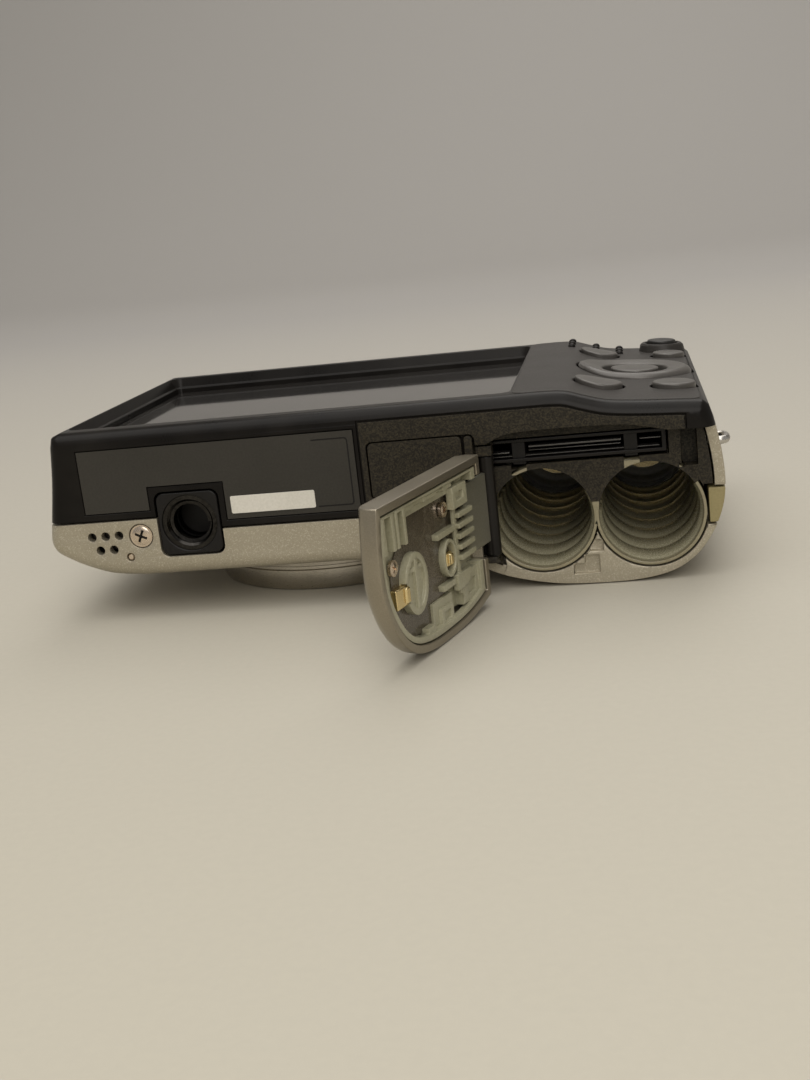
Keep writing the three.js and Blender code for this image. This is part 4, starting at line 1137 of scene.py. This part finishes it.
# Moulded tray inside the door
tray = Values(low=1.0, floor=1.35, top=3.0, left=19.0, rear=20.5)
trayLine = inset(caseLine, door.rim + 0.15)
trayRegion = block(tray.left, 60, 0, 5, -1, tray.rear)
trayBody = common(prism(trayLine, tray.low, tray.top), twin(trayRegion))
trayOpening = common(
    prism(inset(caseLine, door.rim + 0.95), tray.floor, 5), block(20.2, 60, 0, 6, -1, tray.rear - 0.4)
)
trayBody = carve(
    trayBody,
    trayOpening,
    block(0, 28.2, -1, 1.95, 8.4, 18.6),
    block(0, 70, 0, 2.0, -1, 2.6),
    block(0, 21, 1.2, 9, 7.4, 18.9),
)
trayBlocks = [
    block(40.4, 47.4, 1.2, tray.top, 15.6, tray.rear),
    block(26.4, 40.6, 1.2, 2.9, 19.5, tray.rear),
    block(26.4, 40.6, 1.2, 2.3, 18.6, 19.6),
    block(22.1, 26.6, 1.98, tray.top, 16.3, 19.3),
    block(25.0, 25.9, 1.98, 2.45, 4.4, 16.6),
    block(19.6, 25.4, 1.2, 2.5, 2.7, 7.0),
    block(22.6, 27.0, 1.98, 2.8, 5.2, 7.4),
    block(27.8, 33.8, 1.2, 2.0, 1.8, 5.4),
    block(28.6, 32.2, 1.2, 2.5, 1.8, 4.2),
    block(34.5, 36.7, 1.2, 2.6, 1.0, 3.1),
]
inner = prism(trayLine, 0, 5)
for part in trayBlocks:
    trayBody = weld(trayBody, common(part, twin(inner)))
bpy.data.objects.remove(inner)
bpy.data.objects.remove(trayRegion)
trayBody = carve(
    trayBody,
    block(41.1, 42.4, 1.7, 5, 15.0, 20.0),
    block(44.3, 45.9, 1.5, 5, 14.0, 20.1),
    block(43.1, 43.5, 2.2, 5, 14.0, 20.3),
    block(29.0, 31.0, 2.4, 5, 19.0, 20.1),
    block(35.0, 38.0, 2.5, 5, 19.0, 20.2),
    block(23.2, 25.6, 2.4, 5, 17.3, 18.4),
    block(29.4, 31.4, 2.1, 5, 2.4, 3.6),
    block(21.0, 23.6, 2.1, 5, 3.6, 5.6),
)
finish(soften(trayBody, 0.1), "doorTray", "tray", "door_inner", "door")


# A comb of short teeth along the hinge side.
def combTeeth(entry, inputs):
    tooth = entry.node("MeshCube", {"Size": inputs["Tooth"]})
    row = {"Count": inputs["Count"], "Start Location": inputs["First"], "Offset": inputs["Step"]}
    points = entry.node("MeshLine", row)
    return entry.node("InstanceOnPoints", {"Points": points, "Instance": tooth})


comb = {"Tooth": (4.6, 1.05, 0.72), "Count": 5, "First": (23.2, 2.55, 9.4), "Step": (0.0, 0.0, 1.46)}
teeth = soften(grow("combTeeth", comb, combTeeth, "tray"), 0.12)
finish(teeth, "combTeeth", "tray", body="door")

# Glossy contact plate, with the parts that stand on it
plateLine = [(25.2, 18.4), (37.8, 18.4), (40.9, 15.4), (42.6, 13.8), (43.6, 12.5), (43.4, 8.1), (41.4, 4.4)]
plateLine += [(39.3, 2.6), (34.1, 2.6), (32.6, 4.7), (29.0, 5.4), (26.6, 6.6), (26.2, 13.4)]
plateLine += [(26.2, 16.4), (25.2, 17.1)]
contactPlate = soften(prism(plateLine, tray.floor + 0.05, 1.6), 0.05)
finish(contactPlate, "contactPlate", "plate", "door_contact_plate", "door")
posts = [
    block(25.6, 31.2, 1.5, 2.5, 13.3, 14.1),
    block(25.4, 30.8, 1.5, 2.5, 6.2, 7.0),
    carve(prism(ellipse(27.9, 10.1, 2.0, 2.6), 1.5, 2.5), prism(ellipse(27.9, 10.1, 1.5, 2.1), 1, 4)),
]
for number, post in enumerate(posts, 1):
    finish(soften(post, 0.1, 2, 40), "trayPost" + str(number), "tray", body="door")
cup = carve(
    prism(ellipse(38.4, 9.8, 3.2, 4.1), 1.5, 2.6),
    prism(ellipse(38.4, 9.8, 2.3, 3.2), 2.15, 4),
    block(40.4, 43, 1.75, 4, 8.0, 10.6),
)
weld(cup, block(37.9, 38.7, 1.6, 2.6, 6.2, 13.2), block(36.0, 41, 1.6, 2.4, 11.4, 12.0))
finish(soften(cup, 0.12, 2, 40), "contactCup", "tray", body="door")
pads = [
    (weld(block(26.7, 28.5, 1.6, 2.1, 8.9, 10.8), block(27.0, 27.8, 1.9, 2.5, 9.1, 10.6)), "door_contact_1"),
    (weld(block(41.0, 44.2, 1.6, 2.5, 7.9, 10.5), block(40.9, 41.9, 1.5, 2.8, 8.2, 10.2)), "door_contact_2"),
]
for number, (pad, node) in enumerate(pads, 1):
    finish(soften(pad, 0.16, 3), "doorContact" + str(number), "gold", node, "door")
for number, (x, y, z) in enumerate(((27.9, 1.95, 16.7), (43.0, 1.75, 13.1)), 1):
    smallScrew = {"Radius": 1.05, "Head": 0.4, "Place": (x, y, z), "Turn": (-math.pi / 2, 0.5 * number, 0.0)}
    name = "doorScrew" + str(number)
    head = grow(name, smallScrew, crossScrews, "screw")
    finish(head, name, "screw", "door_screw_" + str(number), "door")

# Hinge arm: a black knuckle round the pin and a metal plate that runs into the door
knuckle = soften(tube(hingePin.x, hingePin.y, 0.7, 1.05, 6, 20.4, "z", 40), 0.1)
finish(knuckle, "hingeKnuckle", "slot", "door_hinge_arm", "door_arm")
armPlate = carve(
    block(hingePin.x + 0.7, 25.1, 1.15, 1.75, 8.2, 18.2), rod(hingePin.x, hingePin.y, 0.75, 0, 30, "z")
)
finish(soften(armPlate, 0.12), "hingeArm", "hinge", "door_hinge_arm", "door_arm")
print("the battery door is made")


# Keys of the deck: a low dome with a rounded edge, on its stem
def keyCap(x, y, radius, top, steps=56):
    shape = [(0, case.deckZ + 0.2), (radius, case.deckZ + 0.2), (radius, top - 0.28)]
    for i in range(1, 7):
        angle = math.pi / 2 * i / 6
        shape.append((radius - 0.3 + 0.3 * math.cos(angle), top - 0.28 + 0.28 * math.sin(angle)))
    shape += [(radius * 0.6, top + 0.1), (radius * 0.25, top + 0.15), (0, top + 0.16)]
    return turned(shape, x, y, "z", steps)


keyRise = 0.7
for name, key in keys.items():
    extra = 1.1 if name == "record" else 0
    cap = keyCap(key.x, key.y, key.radius, deckHeight(key.x) + keyRise + extra)
    look = "barrel" if name == "record" else "key"
    finish(leanOnDeck(cap, key.x), name + "Key", look, name + "_button", name + "_key")

record = keys.record
recordTop = deckHeight(record.x)
collarShape = [(record.radius + 0.3, 25.2), (record.radius + 1.7, 25.2)]
collarShape += around(record.radius, recordTop, (1.25, 1.0), (0.9, 1.3), (0.45, 1.3), (0.3, 1.1))
collar = leanOnDeck(turned(collarShape, record.x, record.y), record.x)
finish(collar, "recordCollar", "deck")
dotShape = around(0, recordTop, (0, 1.4), (0.95, 1.4), (0.95, 1.72), (0.7, 1.84), (0, 1.88))
dot = leanOnDeck(turned(dotShape, record.x, record.y), record.x)
finish(dot, "recordDot", "red", body="record_key")

selectorTop = deckHeight(selector.x) + 0.75
ringShape = around(0, case.deckZ, (selector.inner, 0.5), (selector.outer, 0.5))
ringShape += around(selector.outer, selectorTop, (0, -0.75), (-0.25, -0.35), (-0.8, -0.05), (-1.2, 0))
ringShape += around(selector.inner, selectorTop, (0.35, -0.3), (0.1, -0.4), (0, -0.55))
ringKey = leanOnDeck(turned(ringShape, selector.x, selector.y, "z", 96), selector.x)
finish(ringKey, "selectorRing", "key", "selector_ring", "selector")
okCap = leanOnDeck(keyCap(selector.x, selector.y, selector.ok, selectorTop - 0.2), selector.x)
finish(okCap, "okKey", "key", "ok_button", "ok_key")
print("the keys are made")

# Lens: the ring on the front, two barrels and the front glass; the cover blades stay as CAD parts
ringFront = around(lens.bore, 0, (0, 1.8), (0.25, 1.1), (0.9, 0.25), (1.3, 0.0))
ringFront += around(lens.ring, 0, (-1.5, 0.0), (-0.95, 0.2), (-0.4, 1.1), (-0.25, 2.6), (-0.25, 3.3))
ringFront += around(lens.ring, 0, (-0.5, 3.45), (-0.5, 3.85), (-0.15, 4.05), (0, 6.3)) + [(lens.bore, 6.3)]
finish(turned(ringFront, lens.x, lens.y, "z", 128), "lensRing", "ring", "lens_ring")
outerShape = around(lens.inner, 0, (0.3, 1.2), (0.55, 1.0))
outerShape += around(lens.outer, 0, (-0.6, 1.0), (-0.15, 1.3), (0, 1.8), (0, 3.4), (-0.12, 3.5), (-0.12, 3.8))
outerShape += around(lens.outer, 0, (0, 3.9), (0, 17.4), (-1.2, 17.4), (-1.2, 2.2))
outerShape += [(lens.inner + 0.3, 2.2)]
outer = turned(outerShape, lens.x, lens.y, "z", 112)
finish(outer, "outerBarrel", "ring", "outer_barrel", "lens_outer")
innerShape = around(lens.aperture, 0, (0, 1.45), (1.0, 1.25), (1.2, 1.0), (2.3, 0.82), (2.5, 0.62))
innerShape += around(lens.inner, 0, (-2.2, 0.62), (-2.05, 0.8), (-1.85, 0.8), (-1.7, 0.62), (-0.4, 0.62))
innerShape += around(lens.inner, 0, (0, 1.0), (0, 16.9), (-1.2, 16.9), (-1.2, 4.2)) + [(7.8, 4.2), (7.8, 3.2)]
innerShape += around(lens.inner, 0, (-1.2, 3.2), (-1.2, 1.7)) + [(lens.aperture, 1.7)]
barrel = turned(innerShape, lens.x, lens.y, "z", 112)
finish(barrel, "innerBarrel", "barrel", "inner_barrel", "lens_inner")
glassShape = [(0, 2.75)]
for i in range(1, 9):
    glassShape.append((7.3 * i / 8, 2.75 + 0.95 * (i / 8) ** 2))
glassShape += [(7.4, 3.8), (7.4, 5.4), (0, 5.8)]
glass = turned(glassShape, lens.x, lens.y, "z", 72)
finish(glass, "frontLens", "lens", "front_lens", "lens_inner")
print("the lens is made")

# Top controls
finger = roundRectangle(
    shutter.x - 1.6,
    shutter.x + 1.6,
    shutter.z - shutter.leverOuter - 1.2,
    shutter.z - shutter.leverInner - 0.6,
    0.9,
)
lever = weld(
    tube(shutter.x, shutter.z, shutter.leverInner, shutter.leverOuter, height + 0.2, height + 2, "y", 96),
    prism(finger, height + 0.2, height + 2.4),
)
finish(soften(lever, 0.28, 3), "zoomLever", "champagne", "zoom_lever", "lever")
buttonShape = [(0, height - 2.2)] + around(shutter.radius, height, (-1.5, -2.2), (-1.5, 1.05), (0, 1.05))
buttonShape += around(shutter.radius, height, (0, 1.9), (-0.15, 2.16), (-0.5, 2.3))
buttonShape += around(0, height, (2.2, 2.2), (0, 2.12))
release = turned(buttonShape, shutter.x, shutter.z, "y", 72)
finish(release, "shutterButton", "ring", "shutter_button", "shutter")
powerShape = [(0, height - 2.4)] + around(power.radius, height, (0, -2.4), (0, 0.18), (-0.2, 0.38))
powerShape += [(power.radius - 0.45, height + 0.4)] + around(0, height, (1.5, 0.3), (0, 0.26))
powerCap = turned(powerShape, power.x, power.z, "y", 64)
finish(powerCap, "powerButton", "ring", "power_button", "power")
lampShape = [(0, 3.9), (0.9, 3.98), (timerLamp.radius - 0.1, 4.3), (timerLamp.radius, 7.6), (0, 7.6)]
lamp = turned(lampShape, timerLamp.x, timerLamp.y, "z", 40)
finish(lamp, "timerLamp", "amber", "self_timer_lamp")
flashGlass = prism(roundRectangle(flash.x0, flash.x1, flash.y0, flash.y1, 0.8), 6.6, 8.4, "z")
finish(soften(flashGlass, 0.15), "flashWindow", "flash", "flash_window")
print("the top and front controls are made")

for spare in (caseBody, caseShell):
    bpy.data.objects.remove(spare)

# CAD pieces that keep their own shape get their finish
keptFinish = {
    "display": ["lcd_panel"],
    "speaker": ["speaker"],
    "gold": ["cell_contact_1", "cell_contact_2"],
    "board": ["main_board", "key_board", "image_sensor"],
    "barrel": ["lens_housing", "selector_carrier"],
    "steel": ["zoom_motor", "connector_socket"],
    "mirror": ["flash_reflector"],
    "sleeve": ["flash_capacitor"],
    "blade": ["cover_blade_1", "cover_blade_2", "hinge_pin"],
}
for look, names in keptFinish.items():
    for name in names:
        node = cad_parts[name]
        if not node.material_slots:
            node.data.materials.append(None)
        for place in node.material_slots:
            place.material = looks[look]
print("the kept CAD pieces have their finish")

# Floor and backdrop: one sheet that sweeps up behind the camera
sweep = Values(halfWidth=2.2, near=-1.6, bend=0.75, radius=0.55, top=2.6)


def paper(where):
    fibre = where.noise(0.0011, 3)
    cloud = where.noise(0.18, 2)
    # Painted light: the sheet is painted darker and greyer far back and lighter and warmer near the front, as
    # light falls off over it.
    near = where.axis("y").between(0.5, -0.25)
    tone = near.blend((0.36, 0.345, 0.325), (0.52, 0.485, 0.39))
    tone = ((fibre * 0.6 + cloud * 0.4).between(0.25, 0.75) * 0.12).blend(tone, (0.33, 0.315, 0.28))
    return {"Base Color": tone, "Roughness": fibre * 0.1 + 0.55, "Normal": fibre.bump(0.00005, 0.4)}


profile = [(sweep.near, 0), (sweep.bend, 0)]
for i in range(1, 17):
    angle = math.pi / 2 * i / 16
    profile.append((sweep.bend + sweep.radius * math.sin(angle), sweep.radius * (1 - math.cos(angle))))
profile.append((sweep.bend + sweep.radius, sweep.top))
floorLevel = cadBox[0].z
vertices = []
for y, z in profile:
    vertices += [(-sweep.halfWidth, y, z + floorLevel), (sweep.halfWidth, y, z + floorLevel)]
sheetFaces = [(2 * i, 2 * i + 1, 2 * i + 3, 2 * i + 2) for i in range(len(profile) - 1)]
sheetMesh = bpy.data.meshes.new("backdrop")
sheetMesh.from_pydata(vertices, [], sheetFaces)
backdrop = bpy.data.objects.new("backdrop", sheetMesh)
bpy.context.scene.collection.objects.link(backdrop)
sheetMesh.polygons.foreach_set("use_smooth", [True] * len(sheetMesh.polygons))
sheetMesh.materials.append(newMaterial("backdrop paper", {}, paper))

# Light: a pale room, a wide soft light overhead and a weak one from the viewer's side
world = bpy.data.worlds.new("room")
bpy.context.scene.world = world
world.use_nodes = True
world.node_tree.nodes["Background"].inputs["Color"].default_value = (1.0, 0.97, 0.93, 1)
world.node_tree.nodes["Background"].inputs["Strength"].default_value = 0.32
bpy.context.scene.view_settings.view_transform = "Standard"
lights = Values(
    overhead=Values(place=(-0.15, -0.25, 1.3), size=1.6, watts=13, colour=(1.0, 0.975, 0.94)),
    viewer=Values(place=(0.25, -1.1, 0.75), size=0.9, watts=7, colour=(1.0, 0.96, 0.9)),
    rear=Values(place=(0.1, 0.75, 1.0), size=0.9, watts=4, colour=(1.0, 0.97, 0.93)),
)
aim = Vector((0, 0, 0.01))
for name, light in lights.items():
    lamp = bpy.data.lights.new(name, "AREA")
    lamp.shape = "DISK"
    lamp.size = light.size
    lamp.energy = light.watts
    lamp.color = light.colour
    holder = bpy.data.objects.new(name, lamp)
    holder.location = light.place
    holder.rotation_euler = (aim - holder.location).to_track_quat("-Z", "Y").to_euler()
    bpy.context.scene.collection.objects.link(holder)

# The camera, placed in the drawing's millimetres
viewpoint = Values(
    place=(36.44, -187.25, 57.8),
    right=(0.9832, 0.1454, -0.1095),
    up=(0.0686, 0.2609, 0.9629),
    forward=(-0.1686, 0.9543, -0.2466),
    lens=45.5,
    sensor=36,
)
lensData = bpy.data.cameras.new("camera")
lensData.lens = viewpoint.lens
lensData.sensor_width = viewpoint.sensor
lensData.sensor_fit = "AUTO"
lensData.clip_start = 0.01
lensData.clip_end = 20
lensData.dof.use_dof = False
eye = bpy.data.objects.new("camera", lensData)
axes = (Vector(viewpoint.right), Vector(viewpoint.up), -Vector(viewpoint.forward))
eye.matrix_world = Matrix.Translation(toFrame @ Vector(viewpoint.place)) @ Matrix(axes).transposed().to_4x4()
bpy.context.scene.collection.objects.link(eye)
bpy.context.scene.camera = eye
print("the floor, lights and camera are made")
